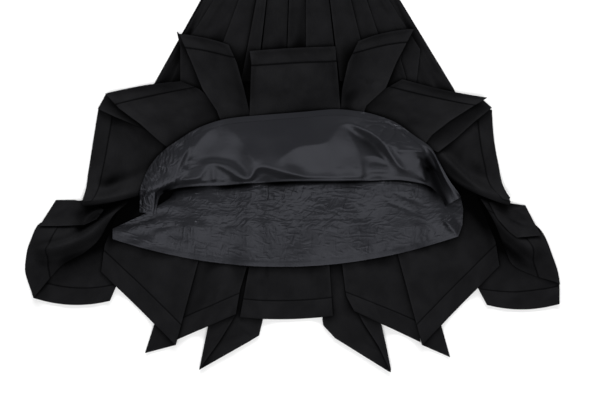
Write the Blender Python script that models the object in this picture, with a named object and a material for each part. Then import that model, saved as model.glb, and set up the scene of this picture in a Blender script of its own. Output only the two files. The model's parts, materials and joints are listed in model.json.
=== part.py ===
"""A pleated midi skirt of black suiting with a charcoal lining, laid flat on its back.

The front hem is turned up over itself, so the panels, their hem allowance and both linings
show from the inside.  Every piece of cloth is a wall of its real thickness.  Sections across
a piece give its cut, and each piece is laid on the height of what lies below it.

Lengths are in millimetres and become metres where a mesh is made.  X runs across the skirt,
Y from the hem to the waist, and Z up from the surface that the skirt lies on.
"""

import math
from collections import namedtuple

import bmesh
import bpy
import numpy as np

MILLIMETRE = 0.001

# Cloth
SHELL_WALL = 1.3
LINING_WALL = 1.0
WAISTBAND_WALL = 3.0
LAYER_GAP = 0.4

# Waist and hem
WAIST_SEAM_Y = 433.0
WAISTBAND_TOP_Y = 468.0
WAISTBAND_LEFT_X = -156.0
WAISTBAND_RIGHT_X = 188.0
WAISTBAND_LAP = 6.0
WAISTBAND_BACK_LOW_Y = 433.4

# The roll of cloth where the front turns up
SHELL_TURN_Y = -20.0
SHELL_TURN_REACH = 6.0
SHELL_TURN_RISE = 7.0
SIDE_TURN_REACH = 9.0
SIDE_TURN_RISE = 10.0
LINING_TURN_REACH = 8.0
LINING_TURN_RISE = 9.0
TURN_STEPS = 4
TURN_FADE = 45.0

# Mesh and height map
BACK_CELL = 60.0
FRONT_CELL = 34.0
SIDE_CELL = 24.0
FLAP_CELL = 12.0
LINING_RIB_CELL = 19.0
LINING_LOWER_ROWS = 5
LINING_UPPER_ROWS = 9
WAISTBAND_CELL = 14.0
MAP_CELL = 4.0
MAP_HALF_WIDTH = 640.0
MAP_HALF_DEPTH = 520.0
SETTLE_PASSES = 2
TINY_AREA = 1.0
SHARP_ANGLE_DEGREES = 50.0

# Colours of the cloth, linear red, green and blue
SHELL_COLOUR = (0.007, 0.007, 0.008, 1.0)
LINING_COLOUR = (0.045, 0.046, 0.055, 1.0)
SHELL_ROUGHNESS = 0.85
LINING_ROUGHNESS = 0.38

# A straight line across a piece, from its left edge to its right edge
Section = namedtuple("Section", "left_x left_y right_x right_y")

# A soft ridge from one point to another, with its height and half width
Ridge = namedtuple("Ridge", "from_x from_y to_x to_y height width")

# A line down the front lining: at the waist, at the turn and at the hem
Rib = namedtuple("Rib", "waist_x turn_x turn_y hem_x hem_y")

# Sections of the back shell, from the waist to the hem
BACK = {
    "back_left_side": (
        Section(-155, 433, -119, 433),
        Section(-306, 161, -230, 161),
        Section(-434, -68, -313, -46),
        Section(-478, -147, -340, -170),
        Section(-568, -306, -401, -312),
    ),
    "back_right_side": (
        Section(153, 433, 186, 433),
        Section(255, 156, 354, 156),
        Section(325, -24, 475, -68),
        Section(387, -244, 578, -270),
        Section(428, -321, 587, -319),
    ),
    "back_left_pleat": (
        Section(-218, -150, -180, -150),
        Section(-280, -288, -225, -288),
        Section(-302, -359, -243, -359),
        Section(-324, -427, -256, -409),
    ),
    "back_right_pleat": (
        Section(206, -150, 244, -150),
        Section(255, -288, 307, -288),
        Section(272, -359, 327, -365),
        Section(285, -409, 347, -436),
    ),
    "back_left_godet": (
        Section(-102, -120, -66, -120),
        Section(-155, -288, -80, -300),
        Section(-173, -335, -64, -350),
        Section(-185, -367, -73, -388),
        Section(-192, -400, -96, -402),
        Section(-205, -464, -200, -461),
    ),
    "back_right_godet": (
        Section(64, -120, 112, -120),
        Section(80, -290, 160, -290),
        Section(66, -352, 190, -352),
        Section(68, -366, 197, -367),
        Section(94, -394, 203, -398),
        Section(213, -468, 217, -468),
    ),
    "back_left_godet_fold": (
        Section(-155, -288, -124, -301),
        Section(-185, -367, -126, -345),
        Section(-194, -412, -160, -400),
        Section(-203, -459, -200, -456),
    ),
    "back_right_godet_fold": (
        Section(134, -320, 175, -320),
        Section(160, -366, 195, -362),
        Section(190, -412, 206, -408),
        Section(214, -463, 217, -463),
    ),
    "back_centre": (
        Section(-20, 433, 57, 433),
        Section(-93, -227, 81, -227),
        Section(-115, -348, 89, -345),
    ),
    "back_left_inner": (
        Section(-80, 433, -16, 433),
        Section(-229, -227, -97, -227),
        Section(-250, -330, -115, -288),
        Section(-262, -401, -124, -341),
    ),
    "back_right_inner": (
        Section(52, 433, 116, 433),
        Section(109, -227, 259, -227),
        Section(118, -300, 270, -330),
        Section(136, -334, 282, -403),
    ),
    "back_left_outer": (
        Section(-133, 433, -71, 433),
        Section(-280, 130, -139, 130),
        Section(-357, -46, -173, -46),
        Section(-412, -189, -197, -189),
        Section(-420, -248, -256, -409),
    ),
    "back_right_outer": (
        Section(109, 433, 171, 433),
        Section(158, 130, 318, 130),
        Section(195, -46, 391, -46),
        Section(226, -189, 446, -180),
        Section(285, -409, 455, -235),
    ),
}
BACK_HEM_BOW = {
    "back_centre": 6.0,
    "back_left_side": 12.0,
    "back_right_side": 11.0,
}

# Sections of the back lining, from the waist to its hem
LINING_BACK = (
    Section(-148, 425, 180, 425),
    Section(-235, 220, 256, 220),
    Section(-345, -40, 342, -40),
    Section(-394, -176, 373, -172),
)
LINING_HEM_BOW = 64.0

# Sections of the front shell from the waist to the turn, outer side up
FRONT_LOWER = {
    "front_left_side": (
        Section(-147, 433, -106, 433),
        Section(-259, 240, -225, 240),
        Section(-306, 158, -226, 158),
        Section(-400, -12, -232, 30),
        Section(-458, -108, -236, -24),
    ),
    "front_right_side": (
        Section(148, 433, 186, 433),
        Section(264, 240, 301, 240),
        Section(270, 156, 353, 156),
        Section(280, 70, 408, 40),
        Section(290, 20, 475, -93),
    ),
    "front_left_outer": (
        Section(-119, 433, -74, 433),
        Section(-240, 240, -140, 240),
        Section(-225, SHELL_TURN_Y, -126, SHELL_TURN_Y),
    ),
    "front_right_outer": (
        Section(124, 433, 158, 433),
        Section(188, 240, 281, 240),
        Section(142, SHELL_TURN_Y, 250, SHELL_TURN_Y),
    ),
    "front_left_inner": (
        Section(-86, 433, -33, 433),
        Section(-157, 240, -55, 240),
        Section(-124, SHELL_TURN_Y, -99, SHELL_TURN_Y),
    ),
    "front_right_inner": (
        Section(58, 433, 134, 433),
        Section(78, 240, 200, 240),
        Section(109, SHELL_TURN_Y, 140, SHELL_TURN_Y),
    ),
    "front_centre": (
        Section(-45, 433, 70, 433),
        Section(-71, 240, 92, 240),
        Section(-97, SHELL_TURN_Y, 107, SHELL_TURN_Y),
    ),
}

# Pleats folded over the upper front: waist, then where the turned hem hides them
PLEATS = {
    "pleat_left_2": (Section(-45, 433, -6, 433), Section(-76, 150, -16, 150)),
    "pleat_right_2": (Section(-4, 433, 32, 433), Section(-14, 150, 32, 150)),
    "pleat_right_3": (Section(30, 433, 71, 433), Section(30, 150, 102, 150)),
    "pleat_right_4": (Section(72, 433, 107, 433), Section(104, 170, 172, 170)),
    "pleat_left_3": (Section(-62, 433, -46, 433), Section(-112, 170, -78, 170)),
}

# Sections of the front shell from the turn to its hem, inner side up
FRONT_UPPER = {
    "front_left_side": (
        Section(-458, -108, -236, -24),
        Section(-457, -107, -280, 29),
        Section(-456, -106, -335, 77),
        Section(-457, -104, -388, 108),
        Section(-458, -99, -426, 112),
    ),
    "front_right_side": (
        Section(290, 20, 475, -93),
        Section(303, 52, 474, -92),
        Section(350, 88, 473, -90),
        Section(400, 112, 474, -88),
        Section(439, 108, 476, -85),
    ),
    "front_left_outer": (
        Section(-225, SHELL_TURN_Y, -126, SHELL_TURN_Y),
        Section(-262, 15, -128, 50),
        Section(-295, 42, -141, 97),
        Section(-331, 75, -170, 125),
        Section(-379, 110, -203, 152),
        Section(-410, 143, -243, 169),
    ),
    "front_right_outer": (
        Section(142, SHELL_TURN_Y, 250, SHELL_TURN_Y),
        Section(132, 50, 281, 20),
        Section(149, 108, 305, 52),
        Section(172, 130, 345, 83),
        Section(202, 152, 391, 112),
        Section(241, 174, 428, 134),
    ),
    "front_left_inner": (
        Section(-124, SHELL_TURN_Y, -99, SHELL_TURN_Y),
        Section(-148, 60, -85, 60),
        Section(-165, 105, -96, 112),
        Section(-196, 152, -106, 155),
        Section(-221, 213, -121, 209),
        Section(-247, 273, -139, 249),
    ),
    "front_right_inner": (
        Section(109, SHELL_TURN_Y, 140, SHELL_TURN_Y),
        Section(95, 60, 140, 60),
        Section(106, 110, 162, 116),
        Section(109, 152, 204, 154),
        Section(122, 209, 228, 211),
        Section(145, 257, 266, 284),
    ),
    "front_centre": (
        Section(-97, SHELL_TURN_Y, 107, SHELL_TURN_Y),
        Section(-93, 108, 105, 112),
        Section(-89, 207, 96, 218),
        Section(-93, 235, 94, 245),
    ),
}
FRONT_HEM_BOW = {
    "front_right_side": 9.0,
    "front_left_outer": -5.0,
    "front_right_outer": 3.0,
    "front_left_inner": -4.0,
    "front_right_inner": -6.0,
    "front_centre": -2.0,
}

# Inside folds of the pleats that show between the turned panels
FRONT_UNDERLAYS = {
    "underlay_left_corner": (
        Section(-427, 110, -410, 142),
        Section(-394, 84, -372, 112),
        Section(-330, 40, -312, 66),
    ),
    "underlay_left": (
        Section(-254, 280, -250, 277),
        Section(-245, 244, -222, 236),
        Section(-245, 169, -196, 160),
        Section(-212, 139, -170, 122),
    ),
    "underlay_right": (
        Section(264, 284, 269, 285),
        Section(222, 236, 242, 246),
        Section(210, 205, 238, 216),
        Section(196, 170, 250, 176),
        Section(180, 140, 238, 150),
    ),
    "underlay_right_corner": (
        Section(410, 138, 438, 112),
        Section(372, 108, 400, 82),
        Section(318, 66, 358, 44),
        Section(285, 30, 318, 14),
    ),
}

# Side panels of the shell where it curls from the back to the front
SIDES = {
    "side_left_hem": (
        Section(-554, -132, -383, -112),
        Section(-573, -174, -397, -145),
        Section(-584, -205, -416, -183),
        Section(-588, -240, -445, -213),
        Section(-579, -277, -500, -241),
        Section(-568, -306, -560, -296),
    ),
    "side_left_flap": (
        Section(-562, -156, -520, -90),
        Section(-511, -156, -480, -90),
        Section(-456, -152, -434, -97),
        Section(-427, -139, -412, -117),
    ),
    "side_right_hem": (
        Section(411, -88, 422, -88),
        Section(435, -139, 500, -122),
        Section(457, -196, 549, -160),
        Section(481, -231, 571, -211),
        Section(534, -257, 584, -250),
        Section(578, -270, 588, -276),
    ),
    "side_right_flap": (
        Section(442, -97, 475, -97),
        Section(457, -132, 512, -102),
        Section(495, -165, 537, -150),
        Section(520, -180, 547, -178),
    ),
}

# The front lining, each rib from the waist round the turn to the hem
LINING_RIBS = (
    Rib(-146, -315, -122, -335, -117),
    Rib(-140, -309, -96, -332, -72),
    Rib(-133, -298, -78, -322, -37),
    Rib(-122, -274, -64, -291, 9),
    Rib(-108, -245, -54, -247, 42),
    Rib(-93, -205, -50, -203, 68),
    Rib(-68, -150, -47, -137, 88),
    Rib(-42, -97, -43, -71, 95),
    Rib(-20, -47, -36, -20, 99),
    Rib(8, 6, -38, 30, 103),
    Rib(42, 80, -38, 94, 108),
    Rib(74, 153, -36, 149, 103),
    Rib(108, 225, -34, 215, 84),
    Rib(136, 280, -44, 270, 48),
    Rib(155, 312, -58, 304, 20),
    Rib(166, 330, -76, 330, -22),
    Rib(172, 337, -100, 347, -101),
)

# Soft folds that stand on a piece once it is laid
RIDGES = {
    "lining_front": (
        Ridge(-196, 6, -159, 10, 13, 20),
        Ridge(-159, 10, -104, -22, 15, 20),
        Ridge(-230, -40, -196, 6, 9, 22),
        Ridge(-78, -22, -20, -30, 8, 20),
        Ridge(-20, -10, 60, 24, 7, 26),
        Ridge(79, 30, 109, 74, 15, 22),
        Ridge(109, 75, 153, 66, 18, 20),
        Ridge(153, 66, 200, 34, 20, 20),
        Ridge(200, 34, 226, -4, 20, 20),
        Ridge(248, -12, 288, 20, 12, 20),
        Ridge(302, 10, 338, -70, 14, 18),
        Ridge(-330, -90, -300, -20, 9, 16),
    ),
    "lining_back": (
        Ridge(330, -120, 364, -160, 12, 22),
        Ridge(-394, -150, -330, -110, 6, 24),
    ),
    "front_left_inner": (
        Ridge(-139, 249, -104, 140, 7, 22),
    ),
    "front_right_inner": (
        Ridge(143, 257, 108, 140, 7, 22),
    ),
    "front_left_side": (
        Ridge(-410, -90, -330, -56, 5, 26),
    ),
    "front_right_side": (
        Ridge(320, 14, 414, -58, 5, 26),
    ),
    "side_left_hem": (
        Ridge(-530, -190, -463, -172, 4, 18),
        Ridge(-463, -172, -400, -142, 12, 22),
        Ridge(-540, -262, -562, -292, 8, 16),
    ),
    "side_left_flap": (
        Ridge(-510, -116, -450, -114, 4, 18),
    ),
    "side_right_hem": (
        Ridge(424, -104, 452, -140, 12, 22),
        Ridge(452, -140, 521, -205, 15, 24),
        Ridge(530, -236, 575, -256, 8, 16),
    ),
    "side_right_flap": (
        Ridge(478, -122, 512, -142, 4, 18),
    ),
}


def steps(length, cell):
    """The number of cells, each no longer than cell, along a length."""
    return max(1, math.ceil(length / cell))


def section_ends(sections):
    """The left and the right ends of the sections, as two arrays of points."""
    left = np.array([(row.left_x, row.left_y) for row in sections], float)
    right = np.array([(row.right_x, row.right_y) for row in sections], float)
    return left, right


def columns_for(sections, cell):
    """How many cells lie side by side across the widest section."""
    left, right = section_ends(sections)
    return steps(np.linalg.norm(right - left, axis=1).max(), cell)


def arch(across):
    """Nothing at both ends of a row and one in its middle."""
    return 1.0 - (2.0 * across - 1.0) ** 2


def loft(sections, cell, columns, bow=0.0):
    """Points in rows across the sections; the last row bows away from the one before it."""
    left, right = section_ends(sections)
    across = np.linspace(0.0, 1.0, columns + 1)[:, None]
    rows = [left[0] + (right[0] - left[0]) * across]
    for index in range(1, len(sections)):
        longest = max(
            np.linalg.norm(left[index] - left[index - 1]),
            np.linalg.norm(right[index] - right[index - 1]),
        )
        count = steps(longest, cell)
        for step in range(1, count + 1):
            share = step / count
            start = left[index - 1] + (left[index] - left[index - 1]) * share
            end = right[index - 1] + (right[index] - right[index - 1]) * share
            row = start + (end - start) * across
            if index == len(sections) - 1:
                line = end - start
                outward = np.array((line[1], -line[0])) / np.linalg.norm(line)
                row = row + outward * (bow * share) * arch(across)
            rows.append(row)
    return np.array(rows)


def triangles_of(rows, columns):
    """The corner indices of the two triangles of every cell of a grid."""
    found = []
    for row in range(rows - 1):
        for column in range(columns - 1):
            here = (row, column)
            below = (row + 1, column)
            across = (row + 1, column + 1)
            beside = (row, column + 1)
            found.append((here, below, across))
            found.append((here, across, beside))
    return found


class HeightMap:
    """How high the cloth laid so far reaches, in small square cells."""

    def __init__(self):
        self.columns = round(2.0 * MAP_HALF_WIDTH / MAP_CELL)
        self.rows = round(2.0 * MAP_HALF_DEPTH / MAP_CELL)
        self.height = np.zeros((self.rows, self.columns))
        self.margin = MAP_CELL * math.sqrt(0.5)

    def cells_under(self, corners):
        """The cells that a triangle touches, seen from above, and their centres."""
        low = corners.min(axis=0) - MAP_CELL
        high = corners.max(axis=0) + MAP_CELL
        first_column = max(0, math.floor((low[0] + MAP_HALF_WIDTH) / MAP_CELL))
        last_column = min(self.columns - 1, math.floor((high[0] + MAP_HALF_WIDTH) / MAP_CELL))
        first_row = max(0, math.floor((low[1] + MAP_HALF_DEPTH) / MAP_CELL))
        last_row = min(self.rows - 1, math.floor((high[1] + MAP_HALF_DEPTH) / MAP_CELL))
        columns, rows = np.meshgrid(
            np.arange(first_column, last_column + 1), np.arange(first_row, last_row + 1)
        )
        x = (columns + 0.5) * MAP_CELL - MAP_HALF_WIDTH
        y = (rows + 0.5) * MAP_CELL - MAP_HALF_DEPTH
        inside = np.ones(x.shape, bool)
        area = np.cross(corners[1] - corners[0], corners[2] - corners[0])
        if abs(area) > TINY_AREA:
            for index in range(3):
                start = corners[index]
                edge = corners[(index + 1) % 3] - start
                away = edge[0] * (y - start[1]) - edge[1] * (x - start[0])
                inside &= away * math.copysign(1.0, area) > -self.margin * np.linalg.norm(edge)
        return rows[inside], columns[inside], x[inside], y[inside]

    def highest_under(self, corners):
        """The greatest height below a triangle."""
        rows, columns, _, _ = self.cells_under(corners)
        return self.height[rows, columns].max() if len(rows) else 0.0

    def add(self, grid):
        """Raise the map to a grid of points in space."""
        for corners in triangles_of(grid.shape[0], grid.shape[1]):
            points = np.array([grid[corner] for corner in corners])
            rows, columns, x, y = self.cells_under(points[:, :2])
            top = points[:, 2].max()
            normal = np.cross(points[1] - points[0], points[2] - points[0])
            if abs(normal[2]) > TINY_AREA:
                slope = -normal[:2] / normal[2]
                plane = points[0, 2] + slope[0] * (x - points[0, 0]) + slope[1] * (y - points[0, 1])
                reach = plane + np.linalg.norm(slope) * self.margin
                level = np.clip(reach, points[:, 2].min(), top)
            else:
                level = np.full(len(rows), top)
            self.height[rows, columns] = np.maximum(self.height[rows, columns], level)

    def support(self, flat):
        """For each point of a flat grid, the height that keeps its triangles clear of the map."""
        height = np.zeros(flat.shape[:2])
        for corners in triangles_of(flat.shape[0], flat.shape[1]):
            level = self.highest_under(np.array([flat[corner] for corner in corners]))
            for corner in corners:
                height[corner] = max(height[corner], level)
        return height + LAYER_GAP * (height > 0.0)


def settle(height):
    """Let stiff cloth bridge the small steps below it, never sinking under its support."""
    for _ in range(SETTLE_PASSES):
        padded = np.pad(height, 1, mode="edge")
        beside = (padded[1:-1, :-2], padded[1:-1, 2:], padded[:-2, 1:-1], padded[2:, 1:-1])
        height = np.maximum(height, np.mean(beside, axis=0))
    return height


def ridge_height(flat, ridges):
    """How high the soft folds of a piece stand at each point of its flat grid."""
    total = np.zeros(flat.shape[:2])
    for ridge in ridges:
        start = np.array((ridge.from_x, ridge.from_y), float)
        along = np.array((ridge.to_x, ridge.to_y), float) - start
        offset = flat - start
        share = np.clip(offset @ along / (along @ along), 0.0, 1.0)
        distance = np.linalg.norm(offset - share[..., None] * along, axis=2)
        total = np.maximum(total, ridge.height * np.exp(-((distance / ridge.width) ** 2)))
    return total


def in_space(flat, height):
    """A flat grid and its heights as a grid of points in space."""
    return np.dstack((flat, height))


def cloth_object(name, inner, outer, colour, roughness):
    """A closed wall between two grids of points, as an object with its own material."""
    rows, columns = inner.shape[:2]
    count = rows * columns

    def at(corner, side):
        return side * count + corner[0] * columns + corner[1]

    faces = []
    for corners in triangles_of(rows, columns):
        faces.append([at(corner, 1) for corner in corners])
        faces.append([at(corner, 0) for corner in reversed(corners)])
    rim = [(0, column) for column in range(columns)]
    rim += [(row, columns - 1) for row in range(1, rows)]
    rim += [(rows - 1, column) for column in range(columns - 2, -1, -1)]
    rim += [(row, 0) for row in range(rows - 2, 0, -1)]
    for here, there in zip(rim, rim[1:] + rim[:1]):
        faces.append((at(here, 0), at(here, 1), at(there, 1)))
        faces.append((at(here, 0), at(there, 1), at(there, 0)))
    points = np.concatenate((inner.reshape(-1, 3), outer.reshape(-1, 3))) * MILLIMETRE

    mesh = bpy.data.meshes.new(name)
    mesh.from_pydata(points.tolist(), [], faces)
    shape = bmesh.new()
    shape.from_mesh(mesh)
    bmesh.ops.recalc_face_normals(shape, faces=shape.faces)
    shape.to_mesh(mesh)
    shape.free()
    mesh.shade_smooth()
    mesh.set_sharp_from_angle(angle=math.radians(SHARP_ANGLE_DEGREES))

    material = bpy.data.materials.new(name)
    material.use_nodes = True
    finish = material.node_tree.nodes["Principled BSDF"]
    finish.inputs["Base Color"].default_value = colour
    finish.inputs["Roughness"].default_value = roughness
    mesh.materials.append(material)
    piece = bpy.data.objects.new(name, mesh)
    bpy.context.scene.collection.objects.link(piece)
    return piece


class Sheet:
    """One layer of cloth: where it lies, seen from above, and the heights of its two faces."""

    def __init__(self, stack, flat, wall, low):
        self.flat = flat
        self.low = low
        self.high = low + wall
        stack.add(self.bottom())
        stack.add(self.top())

    def bottom(self):
        return in_space(self.flat, self.low)

    def top(self):
        return in_space(self.flat, self.high)


def outward_of(row):
    """Unit vectors square to a row of points, away from the rows before it."""
    along = np.gradient(row, axis=0)
    outward = np.stack((along[:, 1], -along[:, 0]), axis=1)
    return outward / np.linalg.norm(outward, axis=1)[:, None]


def turn_rows(lower, upper, reach, wall):
    """The rows that carry a wall round its fold, from the lower layer to the upper one."""
    outward = outward_of(lower.flat[-1])
    low = lower.high[-1]
    high = upper.low[0]
    inner = []
    outer = []
    for step in range(1, TURN_STEPS + 1):
        angle = -math.pi / 2.0 + math.pi * step / (TURN_STEPS + 1)
        flat = lower.flat[-1] + outward * (reach * math.cos(angle))
        height = (low + high) / 2.0 + (high - low) / 2.0 * math.sin(angle)
        inner.append(np.column_stack((flat, height)))
        skin = flat + outward * (wall * math.cos(angle))
        outer.append(np.column_stack((skin, height + wall * math.sin(angle))))
    return np.array(inner), np.array(outer)


def beyond(flat, reach):
    """The same grid with one more row, where the fold will reach past the last one."""
    extra = flat[-1] + outward_of(flat[-1]) * reach
    return np.concatenate((flat, extra[None]))


def fade(flat, reach):
    """One at the first row of a grid, falling to nothing at a distance from it."""
    distance = np.linalg.norm(flat - flat[0][None], axis=2)
    share = np.clip(1.0 - distance / reach, 0.0, 1.0)
    return share * share * (3.0 - 2.0 * share)


class TurnedPiece:
    """A piece that lies outer side up, turns round a fold, and lies on itself inner side up."""

    def __init__(self, name, lower_flat, upper_flat, wall, reach, rise):
        self.name = name
        self.lower_flat = lower_flat
        self.upper_flat = upper_flat
        self.wall = wall
        self.reach = reach
        self.rise = rise

    def lay_lower(self, stack):
        wide = beyond(self.lower_flat, self.reach + self.wall)
        support = settle(stack.support(wide))
        support[-2] = np.maximum(support[-2], support[-1])
        self.lower = Sheet(stack, self.lower_flat, self.wall, support[:-1])

    def lay_upper(self, stack, ridges=()):
        low = settle(stack.support(self.upper_flat)) + ridge_height(self.upper_flat, ridges)
        lift = self.rise * fade(self.upper_flat, TURN_FADE)
        self.upper = Sheet(stack, self.upper_flat, self.wall, low + lift)
        self.turn_inner, self.turn_outer = turn_rows(self.lower, self.upper, self.reach, self.wall)
        stack.add(self.turn_outer)

    def build(self, colour, roughness):
        inner = np.concatenate((self.lower.top(), self.turn_inner, self.upper.bottom()))
        outer = np.concatenate((self.lower.bottom(), self.turn_outer, self.upper.top()))
        return cloth_object(self.name, inner, outer, colour, roughness)


def is_side(name):
    """True for a side panel."""
    return name.endswith("_side")


def turned_shell(name):
    """A front shell panel from the waist round its turn to the hem."""
    reach = SIDE_TURN_REACH if is_side(name) else SHELL_TURN_REACH
    rise = SIDE_TURN_RISE if is_side(name) else SHELL_TURN_RISE
    columns = columns_for(FRONT_LOWER[name] + FRONT_UPPER[name], FRONT_CELL)
    lower_flat = loft(FRONT_LOWER[name], BACK_CELL, columns)
    upper_flat = loft(FRONT_UPPER[name], FRONT_CELL, columns, FRONT_HEM_BOW.get(name, 0.0))
    return TurnedPiece(name, lower_flat, upper_flat, SHELL_WALL, reach, rise)


def turned_lining():
    """The front lining, whose ribs are spread evenly along its turn."""
    ribs = np.array(LINING_RIBS, float)
    gaps = np.linalg.norm(np.diff(ribs[:, 3:5], axis=0), axis=1)
    along = np.concatenate(((0.0,), np.cumsum(gaps)))
    places = np.linspace(0.0, along[-1], steps(along[-1], LINING_RIB_CELL) + 1)
    waist_x, turn_x, turn_y, hem_x, hem_y = (
        np.interp(places, along, ribs[:, index]) for index in range(5)
    )
    waist = np.column_stack((waist_x, np.full(len(places), WAIST_SEAM_Y - WAISTBAND_LAP)))
    turn = np.column_stack((turn_x, turn_y))
    hem = np.column_stack((hem_x, hem_y))
    lower_share = np.linspace(0.0, 1.0, LINING_LOWER_ROWS)[:, None, None]
    upper_share = np.linspace(0.0, 1.0, LINING_UPPER_ROWS)[:, None, None]
    lower_flat = waist + (turn - waist) * lower_share
    upper_flat = turn + (hem - turn) * upper_share
    return TurnedPiece(
        "lining_front", lower_flat, upper_flat, LINING_WALL, LINING_TURN_REACH, LINING_TURN_RISE
    )


def lay_plain(name, stack, sections, wall, cell, colour, roughness, bow=0.0):
    """Lay one plain piece on the stack and build it."""
    flat = loft(sections, cell, columns_for(sections, cell), bow)
    low = settle(stack.support(flat)) + ridge_height(flat, RIDGES.get(name, ()))
    sheet = Sheet(stack, flat, wall, low)
    return cloth_object(name, sheet.bottom(), sheet.top(), colour, roughness)


def lay_shell(stack, name, sections, cell, bow=0.0):
    """Lay one plain piece of the black shell."""
    return lay_plain(name, stack, sections, SHELL_WALL, cell, SHELL_COLOUR, SHELL_ROUGHNESS, bow)


def lay_waistband(stack, name, low_y):
    """Lay one half of the waistband, its rows close enough to slope down from the pleats."""
    sections = (
        Section(WAISTBAND_LEFT_X, WAISTBAND_TOP_Y, WAISTBAND_RIGHT_X, WAISTBAND_TOP_Y),
        Section(WAISTBAND_LEFT_X, low_y, WAISTBAND_RIGHT_X, low_y),
    )
    flat = loft(sections, WAISTBAND_CELL, columns_for(sections, BACK_CELL))
    sheet = Sheet(stack, flat, WAISTBAND_WALL, settle(stack.support(flat)))
    return cloth_object(name, sheet.bottom(), sheet.top(), SHELL_COLOUR, SHELL_ROUGHNESS)


def build_skirt():
    """Lay every piece in order, from the surface below to the lining on top."""
    stack = HeightMap()
    pieces = [lay_waistband(stack, "waistband_back", WAISTBAND_BACK_LOW_Y)]
    for name, sections in BACK.items():
        pieces.append(lay_shell(stack, name, sections, BACK_CELL, BACK_HEM_BOW.get(name, 0.0)))
    pieces.append(
        lay_plain(
            "lining_back", stack, LINING_BACK, LINING_WALL, BACK_CELL,
            LINING_COLOUR, LINING_ROUGHNESS, LINING_HEM_BOW,
        )
    )
    lining = turned_lining()
    lining.lay_lower(stack)
    for name, sections in SIDES.items():
        cell = FLAP_CELL if name.endswith("_flap") else SIDE_CELL
        pieces.append(lay_shell(stack, name, sections, cell))
    front = [turned_shell(name) for name in FRONT_LOWER]
    for panel in front:
        panel.lay_lower(stack)
    for name, sections in PLEATS.items():
        pieces.append(lay_shell(stack, name, sections, BACK_CELL))
    pieces.append(lay_waistband(stack, "waistband_front", WAIST_SEAM_Y - WAISTBAND_LAP))
    for panel in front:
        if is_side(panel.name):
            panel.lay_upper(stack, RIDGES.get(panel.name, ()))
    for name, sections in FRONT_UNDERLAYS.items():
        pieces.append(lay_shell(stack, name, sections, FRONT_CELL))
    for panel in front:
        if not is_side(panel.name):
            panel.lay_upper(stack, RIDGES.get(panel.name, ()))
    lining.lay_upper(stack, RIDGES["lining_front"])
    for panel in front:
        pieces.append(panel.build(SHELL_COLOUR, SHELL_ROUGHNESS))
    pieces.append(lining.build(LINING_COLOUR, LINING_ROUGHNESS))
    return pieces


def main():
    for old in list(bpy.data.objects):
        bpy.data.objects.remove(old)
    skirt = bpy.data.objects.new("skirt", None)
    bpy.context.scene.collection.objects.link(skirt)
    for piece in build_skirt():
        piece.parent = skirt


main()
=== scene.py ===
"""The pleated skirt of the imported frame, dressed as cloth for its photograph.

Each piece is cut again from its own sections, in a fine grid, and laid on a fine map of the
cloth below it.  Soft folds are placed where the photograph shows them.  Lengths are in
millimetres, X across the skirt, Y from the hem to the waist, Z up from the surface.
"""

import json
import math
from collections import namedtuple

import bpy
import numpy as np
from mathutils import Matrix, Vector

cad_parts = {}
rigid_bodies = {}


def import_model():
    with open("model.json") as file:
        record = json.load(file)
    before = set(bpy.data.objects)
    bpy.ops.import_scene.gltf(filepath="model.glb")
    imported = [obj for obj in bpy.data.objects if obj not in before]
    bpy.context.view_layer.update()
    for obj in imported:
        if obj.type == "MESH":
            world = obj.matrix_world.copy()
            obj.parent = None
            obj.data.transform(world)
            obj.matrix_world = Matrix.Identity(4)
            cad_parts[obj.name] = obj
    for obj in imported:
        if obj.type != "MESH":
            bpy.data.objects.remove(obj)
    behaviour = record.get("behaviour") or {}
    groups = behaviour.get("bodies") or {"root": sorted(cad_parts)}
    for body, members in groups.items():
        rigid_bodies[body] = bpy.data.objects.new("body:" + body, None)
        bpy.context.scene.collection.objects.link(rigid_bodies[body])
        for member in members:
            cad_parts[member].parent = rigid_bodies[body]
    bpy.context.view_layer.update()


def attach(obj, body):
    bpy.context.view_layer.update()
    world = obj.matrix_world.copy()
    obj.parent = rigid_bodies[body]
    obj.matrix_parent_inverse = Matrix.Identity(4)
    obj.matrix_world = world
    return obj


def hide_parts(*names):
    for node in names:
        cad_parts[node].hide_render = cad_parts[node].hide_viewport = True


MILLIMETRE = 0.001
# Farther than any cloth reaches, and a length to keep a division from failing
FAR = 1e9
TINY = 1e-9

# Cloth: its walls, the gap between two layers, and its hem allowances
WALL = {"shell": 1.2, "lining": 0.7}
WAISTBAND_WALL = 2.8
LAYER_GAP = 0.35
HEM_WALL = {"shell": 0.9, "lining": 0.2}
FRONT_HEM_DEPTH = 34.0
LINING_HEM_DEPTH = 13.0
SIDE_HEM_DEPTH = {"side_left_hem": 54.0, "side_right_hem": 46.0}
BACK_HEM_DEPTH = {"side": 42.0, "centre": 42.0, "inner": 48.0, "outer": 48.0}

# A hem allowance's rows: from the hem, then evenly, then close together at its sewn edge
HEM_START = 0.5
HEM_ROWS = 7
HEM_ROWS_START = 3.0
HEM_ROWS_END = 6.0
SEAM_ROWS = (3.0, 2.0, 0.0)
SEWN_SHARES = (0.45, 0.5)
HEM_SHARE = 0.55
STRIP_GAP = 0.12

# Waist
WAIST_SEAM_Y = 433.0
WAISTBAND_TOP_Y = 468.0
WAISTBAND_LEFT_X = -156.0
WAISTBAND_RIGHT_X = 188.0
WAISTBAND_LAP = 6.0
WAISTBAND_BACK_LOW_Y = 433.4

# The roll of cloth where the front turns up
SHELL_TURN_Y = -20.0
SHELL_TURN_REACH = 6.0
SHELL_TURN_RISE = 2.5
SIDE_TURN_REACH = 9.0
SIDE_TURN_RISE = {"front_left_side": 12.0, "front_right_side": 6.0}
LINING_TURN_REACH = 3.0
LINING_TURN_RISE = 0.8
TURN_STEPS = 8
TURN_FADE = 45.0
TURN_BOW = {"front_left_side": 14.0, "front_right_side": 16.0}
BOW_FADE = 70.0

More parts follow.
